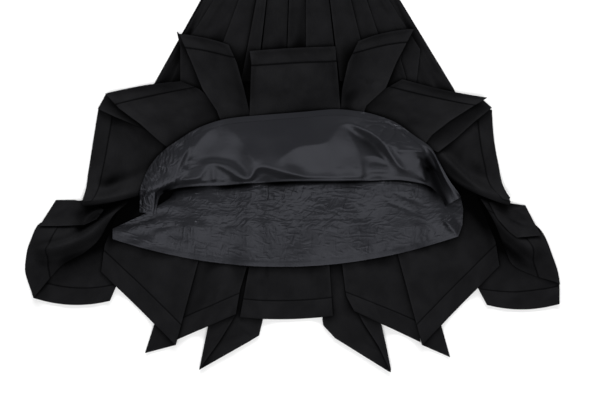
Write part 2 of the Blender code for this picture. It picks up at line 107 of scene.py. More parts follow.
# Grids, and the lines above which hidden cloth gets larger cells
SHELL_CELL = 5.0
HIDDEN_CELL = 16.0
LINING_CELL = 2.7
SIDE_CELL = 4.0
BACK_HIDDEN_Y = 0.0
LINING_HIDDEN_Y = -45.0
LINING_LOWER_ROWS = 36
LINING_UPPER_ROWS = 66
MAP_CELL = 2.5
MAP_HALF_WIDTH = 640.0
MAP_HALF_DEPTH = 520.0
MAP_OVERLAP = 1.3
CORNER_CUTS = 2
CORNER_SHARE = 0.25
SHARP_ANGLE = 50.0

# How cloth settles: passes of spanning and of blurring, and the sag of each pass
RELAX_PASSES = 40
SAG = 0.02
SHELL_BLUR = 4
OPEN_RELAX = 6
TURNED_SPREAD = 2
TURNED_BLUR = 24
TURNED_RELAX = 8
LINING_SPREAD = 4
LINING_BLUR = 90
LINING_LIFT = 1.6
LINING_EDGE_BLUR = 60
LINING_TURN_BLUR = 20
PIN_REACH = 1.4
HEM_PIN_REACH = 12.0
EVEN_PASSES = 2500
EVEN_BLUR = 3

# Folds: how fast a fold changes from its left reach to its right, and how it fades at its ends
SIDE_SOFTNESS = 0.5
SIDE_SHARPNESS = 1.5
FOLD_END_SHARE = 0.45
FOLD_END_REACH = 50.0
FOLD_END_LEAST = 0.2

# Edges spring up a little, less near the turn, and are paler where they are pressed
FOLD_LIP = 2.2
FOLD_LIP_REACH = 7.0
PANEL_LIP = 3.2
PANEL_LIP_REACH = 8.0
LIP_FADE = 190.0
WEAR_REACH = 3.0

# Waves: how many make a ripple, and the least and greatest share of its size they are long
WAVES = 22
WAVE_LENGTHS = (0.7, 1.5)

# A line of the front lining: where it leaves the waist, turns and ends at the hem
Rib = namedtuple("Rib", "waist_x turn_x turn_y hem_x hem_y")
# A soft fold: its height, its reach to the left and to the right of its path, and the path
Fold = namedtuple("Fold", "height left right path")
# A soft round area: its middle and its reach
Spot = namedtuple("Spot", "x y reach_x reach_y")
# A ripple: its height, the size of its waves, the seed of its draws and its stretch
Ripple = namedtuple("Ripple", "height size seed stretch")
# Where a rise fades out: where that starts, the run to its full height, and its least share
Fade = namedtuple("Fade", "start run least")

# Faint waves of the shell's open pieces and of its turned panels
SHELL_WAVE_HEIGHT = 0.3
SHELL_WAVE_SIZE = 70.0
PANEL_WAVE_HEIGHT = 0.35
PANEL_WAVE_SIZE = 60.0

# The back lining: its swell below the fold, with its reach to the fold and to the hem,
# its raised left end, its streaks and its small sharp creases
SWELL_LINE = (
    (-313, -112), (-265, -92), (-203, -79), (-115, -68), (17, -59), (153, -55), (248, -55),
    (303, -73), (325, -101),
)
SWELL_RISE = 5.0
SWELL_REACH = (8.0, 62.0)
SWELL_FADES = (Fade(-280.0, 150.0, 0.25), Fade(340.0, -80.0, 0.2))
LEFT_END_RISE = 3.0
LEFT_END = Spot(-346.0, -200.0, 60.0, 30.0)
STREAKS = Ripple(1.0, 48.0, 21, (1.8, 0.8))
STREAKED = Spot(-230.0, -150.0, 130.0, 70.0)
BACK_WAVES = Ripple(1.1, 90.0, 9, (1.0, 1.4))
LONG_CREASES = Ripple(0.24, 34.0, 5, (1.6, 0.7))
UPRIGHT_CREASES = Ripple(0.26, 38.0, 8, (0.6, 1.7))
DENSE_RISE = 0.46
DENSE_CREASES = Spot(40.0, -95.0, 150.0, 50.0)
BACK_CRUMPLE = (0.5, 0.6)
DENSE_CRUMPLE = Spot(30.0, -92.0, 130.0, 55.0)

# The front lining: faint waves, puckers at its gathered left end and creases at its right
FRONT_WAVES = Ripple(0.4, 60.0, 13, (1.0, 1.0))
PUCKER_HEIGHT = 3.2
PUCKER_SPACING = 15.0
PUCKER_SLANT = 0.45
PUCKER_POWER = 1.5
PUCKER_WOBBLE = Ripple(5.0, 45.0, 11, (1.0, 1.0))
PUCKER_DEPTH = 30.0
PUCKER_RUN = 260.0
PUCKER_FULL = 3.0
TURN_SETTLE = 20.0
RIGHT_CREASES = Ripple(1.9, 30.0, 17, (1.5, 0.6))
RIGHT_CREASED = Spot(222.0, 66.0, 62.0, 34.0)
FRONT_CRUMPLE = (0.06, 0.75)
GATHERED = Spot(-300.0, -10.0, 60.0, 90.0)

# Painted shade in sunken folds: how far below the cloth round it a point is when its painted
# shade starts, and how much deeper when it is full
PAINTED_SHADE_PASSES = 500
PAINTED_SHADE_START = {"shell": 2.5, "lining": 2.6}
PAINTED_SHADE_DEPTH = {"shell": 4.0, "lining": 5.5}
# Painted shade in the open gap beside the front lining's right strip, and its reach from its
# top to its foot
GAP_SHADE_LINE = ((294, -2), (303, -24), (316, -55), (336, -99))
GAP_SHADE_REACH = (12.0, 21.0, 19.0, 10.0)
GAP_SHADE_CUT = 0.12

# Colours, linear red, green and blue
SHELL_DARK = (0.0060, 0.0060, 0.0066)
SHELL_LIGHT = (0.0098, 0.0098, 0.0107)
SHELL_WORN = (0.0125, 0.0125, 0.0137)
LINING_DARK = (0.0085, 0.0088, 0.0105)
LINING_LIGHT = (0.0112, 0.0115, 0.0135)
LINING_GLINT = (0.86, 0.88, 1.0)
# Near-black line at a hem allowance's sewn edge: the stitching, with painted shadow of its step
SEAM_SHADOW_COLOUR = (0.001, 0.001, 0.0012)
# Near-black painted shade for sunken folds, put on the colour and on the satin's reflection there
PAINTED_SHADE_COLOUR = (0.0002, 0.0002, 0.0003)
FLOOR_COLOUR = (0.93, 0.93, 0.93)
BLACK = (0.0, 0.0, 0.0)
WHITE = (1.0, 1.0, 1.0)

# The noise at which the dark tone starts to lighten and at which the light one is reached
CLOUD_RANGE = (0.3, 0.75)

# How much of another colour a mark brings in: paler wear, a dark stitch line with painted
# shadow, and painted shade in sunken folds
WEAR_SHARE = 0.3
SHELL_SEAM_SHADOW_SHARE = 0.75
LINING_SEAM_SHADOW_SHARE = 0.04
PAINTED_SHADE_SHARE = 0.95

# Painted shade from an occlusion node where other cloth closes the cloth in: the reach in
# metres, the samples and the power of the shade
SHADE_REACH = 0.11
SHADE_SAMPLES = 8
SHADE_POWER = {"shell": 2.6, "lining": 2.2}

# Bumps of the cloth's surface: strength, and depth in metres
SLUB_BUMP = (0.35, 0.0014)
TWILL_BUMP = (0.35, 0.0002)
CRUMPLE_BUMP = (0.9, 0.0022)
SATIN_BUMP = (0.2, 0.0001)

# Values of the shaders that are the same all over the cloth
SHELL_FINISH = {
    "Roughness": 0.85,
    "Specular IOR Level": 0.02,
    "Sheen Weight": 0.004,
    "Sheen Roughness": 0.45,
    "Sheen Tint": (0.9, 0.9, 1.0, 1.0),
}
LINING_FINISH = {
    "Specular IOR Level": 0.20,
    "Sheen Weight": 0.004,
    "Sheen Roughness": 0.4,
}
LINING_ROUGHNESS = 0.32
LINING_DULL_ROUGHNESS = 0.85
FLOOR_ROUGHNESS = 0.9

# Stage: the floor in metres, each light's name, power in watts, size and place in metres
FLOOR_SIZE = 14.0
FLOOR_Z = -0.0006
WORLD_STRENGTH = 0.28
LIGHTS = (
    ("south", 74.0, (3.2, 2.4), (0.0, -1.2, 2.75)),
    ("north", 205.0, (4.0, 0.9), (0.0, 3.2, 1.05)),
)
LIGHT_TARGET = (0.0, -0.05, 0.0)

# The photograph's frame: the camera's place, from which it looks straight down, and its lens
VIEW = (16.9, -112.2, 3117.0)
VIEW_LENS = 85.0
SENSOR_WIDTH = 36.0
CLIP_END = 50.0

# A section is the x and y of its left end, then those of its right end

# Sections of the back shell, from the waist to the hem
BACK = {
    "back_left_side": (
        (-155, 433, -119, 433), (-306, 161, -230, 161), (-434, -68, -313, -46),
        (-478, -147, -340, -170), (-568, -306, -401, -312),
    ),
    "back_right_side": (
        (153, 433, 186, 433), (255, 156, 354, 156), (325, -24, 461, -68), (387, -244, 587, -262),
        (428, -321, 587, -319),
    ),
    "back_left_pleat": (
        (-218, -150, -180, -150), (-280, -288, -225, -288), (-302, -359, -243, -359),
        (-324, -427, -256, -409),
    ),
    "back_right_pleat": (
        (206, -150, 244, -150), (255, -288, 307, -288), (272, -359, 327, -365),
        (285, -409, 347, -436),
    ),
    "back_left_godet": (
        (-102, -120, -66, -120), (-155, -288, -80, -300), (-173, -335, -64, -350),
        (-185, -367, -73, -388), (-192, -400, -96, -402), (-205, -464, -200, -461),
    ),
    "back_right_godet": (
        (64, -120, 112, -120), (80, -290, 160, -290), (66, -352, 190, -352),
        (68, -366, 197, -367), (94, -394, 203, -398), (213, -468, 217, -468),
    ),
    "back_left_godet_fold": (
        (-155, -288, -124, -301), (-185, -367, -126, -345), (-194, -412, -160, -400),
        (-203, -459, -200, -456),
    ),
    "back_right_godet_fold": (
        (134, -320, 175, -320), (160, -366, 195, -362), (190, -412, 206, -408),
        (214, -463, 217, -463),
    ),
    "back_centre": (
        (-20, 433, 57, 433), (-93, -227, 81, -227), (-115, -348, 89, -345),
    ),
    "back_left_inner": (
        (-80, 433, -16, 433), (-229, -227, -97, -227), (-250, -330, -115, -288),
        (-262, -401, -124, -341),
    ),
    "back_right_inner": (
        (52, 433, 116, 433), (109, -227, 259, -227), (118, -300, 270, -330),
        (136, -334, 282, -403),
    ),
    "back_left_outer": (
        (-133, 433, -71, 433), (-280, 130, -139, 130), (-357, -46, -173, -46),
        (-412, -189, -197, -189), (-420, -248, -256, -409),
    ),
    "back_right_outer": (
        (109, 433, 171, 433), (158, 130, 318, 130), (195, -46, 391, -46), (226, -189, 446, -180),
        (285, -409, 455, -235),
    ),
}
BACK_HEM_BOW = {
    "back_centre": 6.0,
    "back_left_side": 12.0,
    "back_right_side": 11.0,
}

# Sections of the back lining, from the waist to its hem
LINING_BACK = (
    (-148, 425, 180, 425), (-235, 220, 256, 220), (-240, -40, 350, -40), (-269, -86, 369, -80),
    (-318, -118, 375, -110), (-394, -153, 373, -146), (-394, -176, 364, -170),
)
LINING_HEM_BOW = 64.0

# Sections of the front shell from the waist to the turn, outer side up
FRONT_LOWER = {
    "front_left_side": (
        (-147, 433, -106, 433), (-259, 240, -225, 240), (-306, 158, -226, 158),
        (-400, -12, -232, 30), (-458, -94, -236, -24),
    ),
    "front_right_side": (
        (148, 433, 186, 433), (264, 240, 301, 240), (270, 156, 353, 156), (280, 70, 408, 40),
        (290, 20, 475, -93),
    ),
    "front_left_outer": (
        (-119, 433, -74, 433), (-240, 240, -140, 240), (-225, SHELL_TURN_Y, -126, SHELL_TURN_Y),
    ),
    "front_right_outer": (
        (124, 433, 158, 433), (188, 240, 281, 240), (142, SHELL_TURN_Y, 250, SHELL_TURN_Y),
    ),
    "front_left_inner": (
        (-86, 433, -33, 433), (-157, 240, -55, 240), (-124, SHELL_TURN_Y, -99, SHELL_TURN_Y),
    ),
    "front_right_inner": (
        (58, 433, 134, 433), (78, 240, 200, 240), (109, SHELL_TURN_Y, 140, SHELL_TURN_Y),
    ),
    "front_centre": (
        (-45, 433, 70, 433), (-71, 240, 92, 240), (-97, SHELL_TURN_Y, 107, SHELL_TURN_Y),
    ),
}

# Pleats folded over the upper front: waist, then where the turned hem hides them
PLEATS = {
    "pleat_left_2": ((-45, 433, -6, 433), (-76, 150, -16, 150)),
    "pleat_right_2": ((-4, 433, 32, 433), (-14, 150, 32, 150)),
    "pleat_right_3": ((30, 433, 71, 433), (30, 150, 102, 150)),
    "pleat_right_4": ((72, 433, 107, 433), (104, 170, 172, 170)),
    "pleat_left_3": ((-62, 433, -46, 433), (-112, 170, -78, 170)),
}

# Sections of the front shell past the turn, to its hem, inner side up
FRONT_UPPER = {
    "front_left_side": (
        (-457, -93, -280, 29), (-456, -92, -335, 77), (-457, -91, -388, 108),
        (-458, -88, -426, 112),
    ),
    "front_right_side": (
        (303, 52, 474, -92), (350, 88, 473, -90), (400, 112, 474, -88), (439, 108, 476, -85),
    ),
    "front_left_outer": (
        (-262, 15, -128, 50), (-295, 42, -141, 97), (-331, 75, -170, 125), (-379, 110, -203, 152),
        (-410, 143, -243, 169),
    ),
    "front_right_outer": (
        (132, 50, 281, 20), (149, 108, 305, 52), (172, 130, 345, 83), (202, 152, 391, 112),
        (241, 174, 428, 134),
    ),
    "front_left_inner": (
        (-148, 60, -85, 60), (-165, 105, -96, 112), (-196, 152, -106, 155), (-221, 213, -121, 209),
        (-247, 273, -139, 249),
    ),
    "front_right_inner": (
        (95, 60, 140, 60), (106, 110, 162, 116), (109, 152, 204, 154), (122, 209, 228, 211),
        (145, 257, 266, 284),
    ),
    "front_centre": (
        (-93, 108, 105, 112), (-89, 207, 96, 218), (-93, 235, 94, 245),
    ),
}
FRONT_HEM_BOW = {
    "front_right_side": 9.0,
    "front_left_outer": -5.0,
    "front_right_outer": 3.0,
    "front_left_inner": -4.0,
    "front_right_inner": -6.0,
    "front_centre": -2.0,
}

# Inside folds of the pleats that show between the turned panels
FRONT_UNDERLAYS = {
    "underlay_left_corner": (
        (-427, 110, -410, 142), (-388, 92, -366, 116), (-316, 62, -298, 82),
    ),
    "underlay_left": (
        (-254, 280, -250, 277), (-245, 244, -222, 236), (-245, 169, -196, 160),
        (-212, 139, -170, 122),
    ),
    "underlay_right": (
        (264, 284, 269, 285), (222, 236, 242, 246), (210, 205, 238, 216), (196, 170, 250, 176),
        (180, 140, 238, 150),
    ),
    "underlay_right_corner": (
        (410, 138, 438, 112), (372, 108, 400, 82), (318, 66, 358, 44), (285, 30, 318, 14),
    ),
}

# Side panels of the shell where it curls from the back to the front
SIDES = {
    "side_left_hem": (
        (-470, -92, -338, -72), (-530, -128, -362, -98), (-560, -146, -388, -122),
        (-573, -174, -403, -143), (-584, -205, -425, -178), (-588, -240, -456, -205),
        (-579, -277, -504, -232), (-568, -306, -560, -296),
    ),
    "side_left_flap": (
        (-555, -147, -520, -90), (-511, -147, -480, -90), (-456, -145, -434, -97),
        (-427, -132, -412, -112),
    ),
    "side_right_hem": (
        (411, -88, 422, -88), (441, -139, 500, -122), (467, -196, 549, -160),
        (483, -231, 571, -211), (534, -257, 584, -250), (578, -270, 588, -276),
    ),
    "side_right_flap": (
        (428, -95, 475, -97), (447, -132, 512, -102), (473, -160, 534, -146),
        (489, -172, 545, -168),
    ),
}

# The front lining, each rib from the waist round the turn to the hem
LINING_RIBS = (
    (-146, -303, -122, -335, -117), (-140, -299, -98, -332, -72), (-133, -292, -79, -322, -37),
    (-122, -272, -67, -291, 9), (-108, -246, -60, -247, 42), (-93, -206, -57, -203, 68),
    (-68, -150, -55, -137, 88), (-42, -97, -51, -71, 95), (-20, -47, -48, -20, 99),
    (8, 6, -46, 30, 103), (42, 80, -46, 94, 108), (74, 153, -45, 149, 103),
    (108, 225, -43, 215, 84), (136, 280, -50, 270, 48), (155, 304, -58, 302, 24),
    (164, 318, -70, 321, -9), (169, 331, -84, 342, -46), (172, 340, -101, 370, -83),
)

# The front lining's upper side: lines of it as drawn, with their heights above the surface
LINING_LINES = (
    (
        (-234, 48, 20), (-203, 68, 23), (-188, 75, 25), (-170, 79, 26), (-155, 84, 26),
        (-135, 87, 24), (-104, 90, 22), (-67, 95, 20), (-3, 101, 19), (61, 106, 19),
        (112, 108, 21), (153, 101, 22), (182, 92, 22), (215, 77, 23), (244, 65, 23),
        (270, 47, 23), (296, 30, 25),
    ),
    (
        (-221, 13, 24), (-207, 33, 26), (-192, 51, 26.5), (-174, 64, 26.5), (-157, 73, 26),
        (-139, 68, 26), (-124, 53, 27), (-108, 31, 28), (-93, 9, 29), (-80, -11, 29.5),
    ),
    (
        (-225, -4, 21), (-207, -2, 20.5), (-190, 0, 20), (-163, 1, 20), (-139, -2, 20),
        (-122, -9, 20.5), (-108, -22, 20.5), (-97, -37, 21),
    ),
    (
        (-190, -11, 23), (-172, -8, 23.6), (-155, -10, 24.5), (-135, -15, 25), (-119, -25, 25),
        (-106, -40, 24),
    ),
    (
        (-238, -46, 19), (-221, -45, 20), (-203, -42, 20.5), (-194, -29, 22), (-185, -15, 23.5),
        (-174, -11, 24), (-159, -16, 24.5), (-141, -24, 25), (-124, -35, 24.5), (-108, -46, 23),
        (-97, -48, 22), (-89, -40, 24), (-82, -24, 27), (-73, -18, 28.5), (-60, -18, 29),
        (-40, -24, 28.5), (-20, -30, 28), (6, -36, 26), (26, -42, 23), (43, -45, 20),
        (83, -43, 18.5), (118, -42, 18), (153, -43, 18),
    ),
    ((-166, -21, 19), (-150, -30, 17.5), (-133, -40, 16.5)),
    ((-172, -13, 23), (-172, -29, 21.5), (-172, -46, 19)),
    ((-183, -24, 19.6), (-190, -40, 17), (-192, -48, 16.5)),
    ((-161, -29, 18), (-157, -40, 16.5), (-152, -46, 16)),
    ((-78, -29, 20), (-60, -29, 18), (-38, -35, 17), (-18, -40, 16.5)),
    ((-82, -46, 13), (-49, -44, 13), (-5, -45, 13)),
    ((-227, 24, 25), (-238, 7, 24.5), (-247, -15, 24), (-254, -37, 22.5), (-258, -53, 20)),
    ((-221, 15, 19.5), (-229, -2, 18.5), (-238, -22, 18), (-245, -42, 17)),
    ((-289, -20, 23), (-278, -15, 23.5), (-269, -26, 23), (-265, -51, 21)),
    ((-278, -31, 20.5), (-278, -51, 18)),
    ((-328, -59, 19), (-330, -84, 16), (-331, -108, 12)),
    ((-320, -55, 22), (-320, -81, 18.5), (-320, -110, 13)),
    ((-311, -59, 18.5), (-311, -84, 15), (-311, -112, 11)),
    ((-302, -62, 19), (-302, -84, 16), (-304, -110, 12)),
    ((-313, -15, 20), (-302, -29, 22.5), (-295, -48, 21)),
    ((-298, 2, 20), (-284, -13, 20.5), (-278, -29, 20)),
    ((-273, 29, 20), (-260, 11, 23), (-254, -9, 24)),
    ((-256, 42, 20), (-240, 24, 21)),
    (
        (-27, -2, 29), (-9, 13, 30), (8, 24, 30.5), (30, 29, 30.5), (57, 30, 30.5), (74, 33, 30),
        (85, 44, 29.5), (94, 59, 29), (103, 73, 29), (112, 77, 29),
    ),
    (
        (112, 77, 29), (127, 76, 30), (149, 67, 31.5), (171, 57, 32.5), (189, 46, 33),
        (202, 31, 32), (213, 13, 30), (224, -4, 27), (235, -18, 24.5), (244, -24, 22),
    ),
    (
        (123, 66, 25), (138, 55, 20), (156, 44, 17.5), (173, 31, 16.5), (189, 15, 16),
        (204, -2, 16.5), (217, -18, 17),
    ),
    (
        (118, 68, 27.5), (129, 48, 25.5), (138, 29, 24), (147, 7, 22.5), (151, -15, 20.5),
        (152, -33, 19),
    ),
    ((43, -29, 19), (72, -29, 18.5), (116, -29, 18), (140, -31, 18)),
    ((-9, -9, 25.5), (8, -11, 24.5), (24, -20, 23), (32, -31, 21.5)),
    ((160, -15, 17.5), (162, -33, 16.5)),
    ((162, 4, 20.5), (178, 7, 20.5), (193, 2, 20), (208, -7, 19)),
    ((169, -7, 15.5), (189, -7, 15), (206, -20, 15), (217, -29, 15.5)),
    ((224, 18, 27), (233, 4, 25.5), (239, -9, 23.5)),
    ((228, 16, 30), (246, 19, 31), (268, 18, 31), (285, 15, 29)),
    ((248, -24, 20.5), (263, -23, 20), (274, -18, 20), (281, -2, 24)),
    ((235, 38, 25.5), (250, 33, 26), (268, 28, 26.5)),
    ((296, 26, 27), (307, 13, 28), (317, -4, 28), (327, -29, 27), (340, -55, 24), (356, -75, 20)),
    ((301, -4, 6), (310, -24, 6.5), (321, -48, 8.5), (332, -70, 11), (338, -88, 13)),
    ((292, -18, 7), (296, -35, 8), (305, -55, 9.5), (318, -77, 12)),
    ((283, 2, 20), (285, -24, 17), (290, -48, 16)),
)

# Soft folds of each piece, as a ridge above it or, below zero, a trough
FOLDS = {
    "lining_back": (
        Fold(-7, 16, 18, ((281, 2), (299, -20), (312, -46), (325, -73), (338, -97))),
        Fold(5, 12, 3, ((327, -128), (345, -150), (365, -172))),
        Fold(-0.9, 4, 4, ((-141, -132), (-67, -128), (17, -132), (105, -130), (175, -132))),
        Fold(-0.8, 3, 3, ((-86, -194), (-86, -227))),
        Fold(-0.9, 3, 3, ((-97, -218), (-95, -231))),
        Fold(-0.9, 4, 3, ((-104, -167), (-113, -180), (-117, -194))),
        Fold(-1.0, 3, 3, ((-320, -180), (-324, -196))),
        Fold(-2.6, 6, 8, ((-383, -147), (-313, -134), (-265, -110))),
        Fold(-2.2, 5, 8, ((-364, -167), (-309, -154), (-256, -147))),
        Fold(-2.0, 5, 7, ((-317, -180), (-278, -169), (-225, -174))),
        Fold(-1.8, 5, 5, ((226, -73), (252, -86), (283, -97))),
        Fold(-1.4, 4, 4, ((202, -90), (237, -106), (272, -119))),
        Fold(-2.2, 6, 7, ((266, -158), (303, -169), (338, -161))),
        Fold(-2.8, 5, 10, ((272, -185), (307, -178), (343, -174))),
        Fold(-3.0, 5, 9, ((-339, -194), (-300, -185), (-260, -194))),
        Fold(-2.5, 5, 8, ((-350, -161), (-313, -163), (-265, -180))),
        Fold(-2.0, 5, 7, ((288, -143), (325, -156), (351, -172))),
        Fold(-2.0, 7, 9, ((219, -194), (259, -180), (303, -185))),
        Fold(-1.0, 5, 5, ((-67, -119), (-16, -130), (8, -154))),
    ),
    "front_centre": (
        Fold(6, 10, 12, ((-93, 235), (-89, 218), (-93, 178), (-95, 130))),
        Fold(6, 12, 10, ((94, 249), (98, 196), (103, 130))),
    ),
    "front_left_inner": (
        Fold(11, 13, 18, ((-137, 253), (-122, 213), (-113, 183), (-104, 152), (-100, 130))),
        Fold(1.2, 8, 8, ((-203, 218), (-172, 178), (-155, 139))),
    ),
    "front_right_inner": (
        Fold(11, 18, 13, ((142, 260), (129, 227), (120, 200), (117, 175), (116, 160))),
        Fold(-1.2, 4, 5, ((125, 187), (162, 167), (206, 167))),
        Fold(0.8, 8, 8, ((149, 147), (171, 152), (193, 156))),
    ),
    "front_left_outer": (
        Fold(1.6, 10, 10, ((-225, 130), (-256, 112), (-273, 81))),
        Fold(1.4, 12, 12, ((-335, 103), (-280, 103), (-236, 121))),
        Fold(2.5, 10, 4, ((-408, 145), (-357, 95), (-313, 59), (-280, 29))),
    ),
    "front_right_outer": (
        Fold(1.6, 10, 10, ((219, 130), (255, 112), (268, 77))),
        Fold(1.4, 12, 12, ((233, 121), (292, 108), (347, 103))),
        Fold(2.5, 4, 10, ((431, 139), (393, 114), (347, 84), (303, 48))),
    ),
    "front_left_side": (
        Fold(8, 18, 12, ((-427, -108), (-390, -95), (-357, -79), (-328, -64))),
        Fold(1.5, 4, 4, ((-377, 119), (-388, 103), (-399, 88))),
        Fold(1.4, 10, 10, ((-375, 75), (-346, 46), (-322, 15))),
        Fold(1.2, 8, 8, ((-397, -37), (-383, -2), (-383, 42))),
    ),
    "front_right_side": (
        Fold(9, 8, 9, ((316, 22), (343, -7), (376, -40), (420, -79))),
        Fold(1.4, 8, 8, ((378, 42), (378, 7), (387, -29))),
    ),
    "underlay_right_corner": (
        Fold(1.6, 6, 6, ((400, 103), (409, 90), (400, 77))),
    ),
    "side_left_hem": (
        Fold(27, 17, 15, (
            (-355, -86), (-379, -108), (-410, -136), (-438, -163), (-474, -183), (-518, -196),
            (-568, -202),
        )),
        Fold(17, 20, 26, ((-458, -158), (-498, -169), (-537, -178), (-577, -183))),
        Fold(7, 6, 8, ((-524, -268), (-542, -284), (-566, -304))),
    ),
    "side_left_flap": (
        Fold(6, 5, 6, ((-458, -147), (-449, -125), (-427, -110), (-397, -110))),
        Fold(-4, 6, 7, ((-454, -90), (-471, -117), (-489, -143))),
        Fold(1.5, 8, 8, ((-533, -130), (-507, -112), (-485, -101))),
    ),
    "side_right_hem": (
        Fold(29, 26, 15, (
            (404, -68), (424, -97), (444, -130), (464, -156), (490, -178), (521, -200),
            (545, -222),
        )),
        Fold(-6, 7, 7, ((475, -218), (505, -240), (541, -260), (589, -277))),
    ),
    "side_right_flap": (
        Fold(3.5, 5, 5, ((450, -103), (472, -123), (497, -139), (525, -147))),
        Fold(2.5, 4, 4, ((479, -103), (501, -117), (519, -125))),
        Fold(-2.5, 4, 4, ((464, -125), (490, -145), (519, -161))),
        Fold(2.2, 4, 4, ((457, -119), (483, -110), (514, -108))),
        Fold(-2.0, 4, 4, ((453, -110), (481, -130), (527, -136))),
    ),
    "back_left_side": (
        Fold(3, 16, 12, ((-423, -244), (-441, -277), (-445, -317))),
        Fold(-1.2, 4, 4, ((-438, -227), (-436, -266), (-441, -315))),
        Fold(2.5, 4, 4, ((-566, -304), (-542, -284), (-520, -268))),
        Fold(-2.5, 7, 7, ((-515, -257), (-507, -284), (-511, -315))),
        Fold(-1.5, 3, 3, ((-427, -240), (-412, -262), (-386, -284))),
        Fold(-1.2, 3, 3, ((-441, -277), (-427, -290), (-416, -304))),
    ),
    "back_right_side": (
        Fold(-1.6, 3, 3, ((472, -275), (455, -295), (435, -317))),
        Fold(-1.6, 3, 3, ((472, -277), (477, -310))),
        Fold(-1.6, 3, 3, ((483, -290), (523, -295))),
        Fold(2.5, 9, 9, ((453, -310), (483, -301), (510, -310))),
        Fold(3.0, 8, 8, ((545, -317), (571, -297), (589, -284))),
        Fold(-3.0, 9, 9, ((510, -284), (534, -301), (545, -328))),
    ),
    "back_left_outer": (
        Fold(1.2, 10, 10, ((-379, -227), (-324, -277), (-269, -321))),
        Fold(2.0, 8, 3, ((-207, -227), (-225, -288), (-247, -394))),
    ),
    "back_left_inner": (
        Fold(1.2, 9, 9, ((-192, -288), (-170, -244), (-133, -227))),
        Fold(-1.0, 3, 3, ((-148, -312), (-135, -328), (-119, -343))),
    ),
    "back_right_inner": (
        Fold(1.2, 9, 9, ((160, -244), (182, -284), (211, -301))),
    ),
    "back_right_outer": (
        Fold(1.2, 10, 10, ((281, -266), (336, -240), (391, -227))),
        Fold(2.0, 3, 8, ((233, -227), (248, -288), (272, -394))),
    ),
    "back_centre": (
        Fold(-1.8, 4, 4, ((-56, -227), (-58, -350))),
        Fold(1.6, 6, 6, ((-73, -227), (-75, -350))),
        Fold(-1.5, 5, 5, ((24, -227), (24, -350))),
        Fold(1.4, 7, 7, ((-5, -227), (-5, -350))),
        Fold(1.2, 5, 5, ((50, -227), (48, -345))),
        Fold(-2.0, 5, 5, ((90, -227), (90, -341))),
    ),
    "back_left_godet": (
        Fold(1.5, 7, 7, ((-124, -354), (-155, -403), (-185, -447))),
        Fold(-2.0, 3, 3, ((-122, -343), (-95, -365), (-69, -385))),
        Fold(1.6, 4, 4, ((-119, -359), (-97, -378), (-80, -394))),
    ),
    "back_right_godet": (
        Fold(1.5, 7, 7, ((131, -341), (167, -389), (211, -455))),
    ),
}


def eased(share):
    """The same share from nothing to one, with a soft start and end."""
    return share * share * (3.0 - 2.0 * share)


def monotone(places, values, wanted):
    """A smooth curve through the values that never swings past them."""
    gaps = np.diff(places)
    slopes = np.diff(values) / gaps
    tangents = np.zeros(len(places))
    tangents[0] = slopes[0]
    tangents[-1] = slopes[-1]
    for index in range(1, len(slopes)):
        before = slopes[index - 1]
        after = slopes[index]
        if before * after > 0.0:
            tangents[index] = 2.0 * before * after / (before + after)
    cell = np.clip(np.searchsorted(places, wanted) - 1, 0, len(gaps) - 1)
    width = gaps[cell]
    share = (wanted - places[cell]) / width
    cube = share ** 3
    square = share ** 2
    return (
        values[cell] * (2.0 * cube - 3.0 * square + 1.0)
        + values[cell + 1] * (3.0 * square - 2.0 * cube)
        + tangents[cell] * width * (cube - 2.0 * square + share)
        + tangents[cell + 1] * width * (cube - square)
    )


def arch(across):
    """Nothing at both ends of a row and one in its middle."""
    return 1.0 - (2.0 * across - 1.0) ** 2


def steps_along(path):
    """How far each point of a path lies from its start."""
    gaps = np.linalg.norm(np.diff(path, axis=0), axis=1)
    return np.concatenate(((0.0,), np.cumsum(gaps)))


def loft(sections, cell, columns, bow=0.0, smooth=False, hidden_above=None):
    """A grid of points across the sections; its last stretch bows away from the one before."""
    sides = np.array(sections, float)
    middle_y = (sides[:, 1] + sides[:, 3]) / 2.0
    steps = np.diff(sides, axis=0)
    gaps = np.maximum(
        np.linalg.norm(steps[:, :2], axis=1),
        np.linalg.norm(steps[:, 2:], axis=1),
    )
    along = np.concatenate(((0.0,), np.cumsum(gaps)))
    places = [0.0]
    for index, gap in enumerate(gaps):
        hidden = hidden_above is not None and middle_y[index + 1] > hidden_above
        count = max(1, math.ceil(gap / (HIDDEN_CELL if hidden else cell)))
        places.extend(along[index] + gap * np.arange(1, count + 1) / count)
    places = np.array(places)
    ends = [
        monotone(along, values, places) if smooth else np.interp(places, along, values)
        for values in sides.T
    ]
    start = np.column_stack(ends[:2])
    line = np.column_stack(ends[2:]) - start
    across = np.linspace(0.0, 1.0, columns + 1)
    grid = start[:, None] + line[:, None] * across[None, :, None]
    if bow:
        outward = np.column_stack((line[:, 1], -line[:, 0]))
        outward = outward / (np.linalg.norm(line, axis=1)[:, None] + TINY)
        share = np.clip((places - along[-2]) / gaps[-1], 0.0, 1.0)
        grid = grid + outward[:, None] * (bow * share[:, None, None]) * arch(across)[None, :, None]
    return grid


def columns_for(sections, cell):
    """How many cells lie side by side across the widest section."""
    widest = max(math.hypot(x2 - x1, y2 - y1) for x1, y1, x2, y2 in sections)
    return max(2, math.ceil(widest / cell))


def rounded(path):
    """The same path with its corners cut off."""
    path = np.array(path, float)
    for _ in range(CORNER_CUTS):
        if len(path) < 3:
            return path
        between = np.empty((2 * (len(path) - 1), path.shape[1]))
        between[0::2] = path[:-1] * (1.0 - CORNER_SHARE) + path[1:] * CORNER_SHARE
        between[1::2] = path[:-1] * CORNER_SHARE + path[1:] * (1.0 - CORNER_SHARE)
        path = np.concatenate((path[:1], between[1:-1], path[-1:]))
    return path


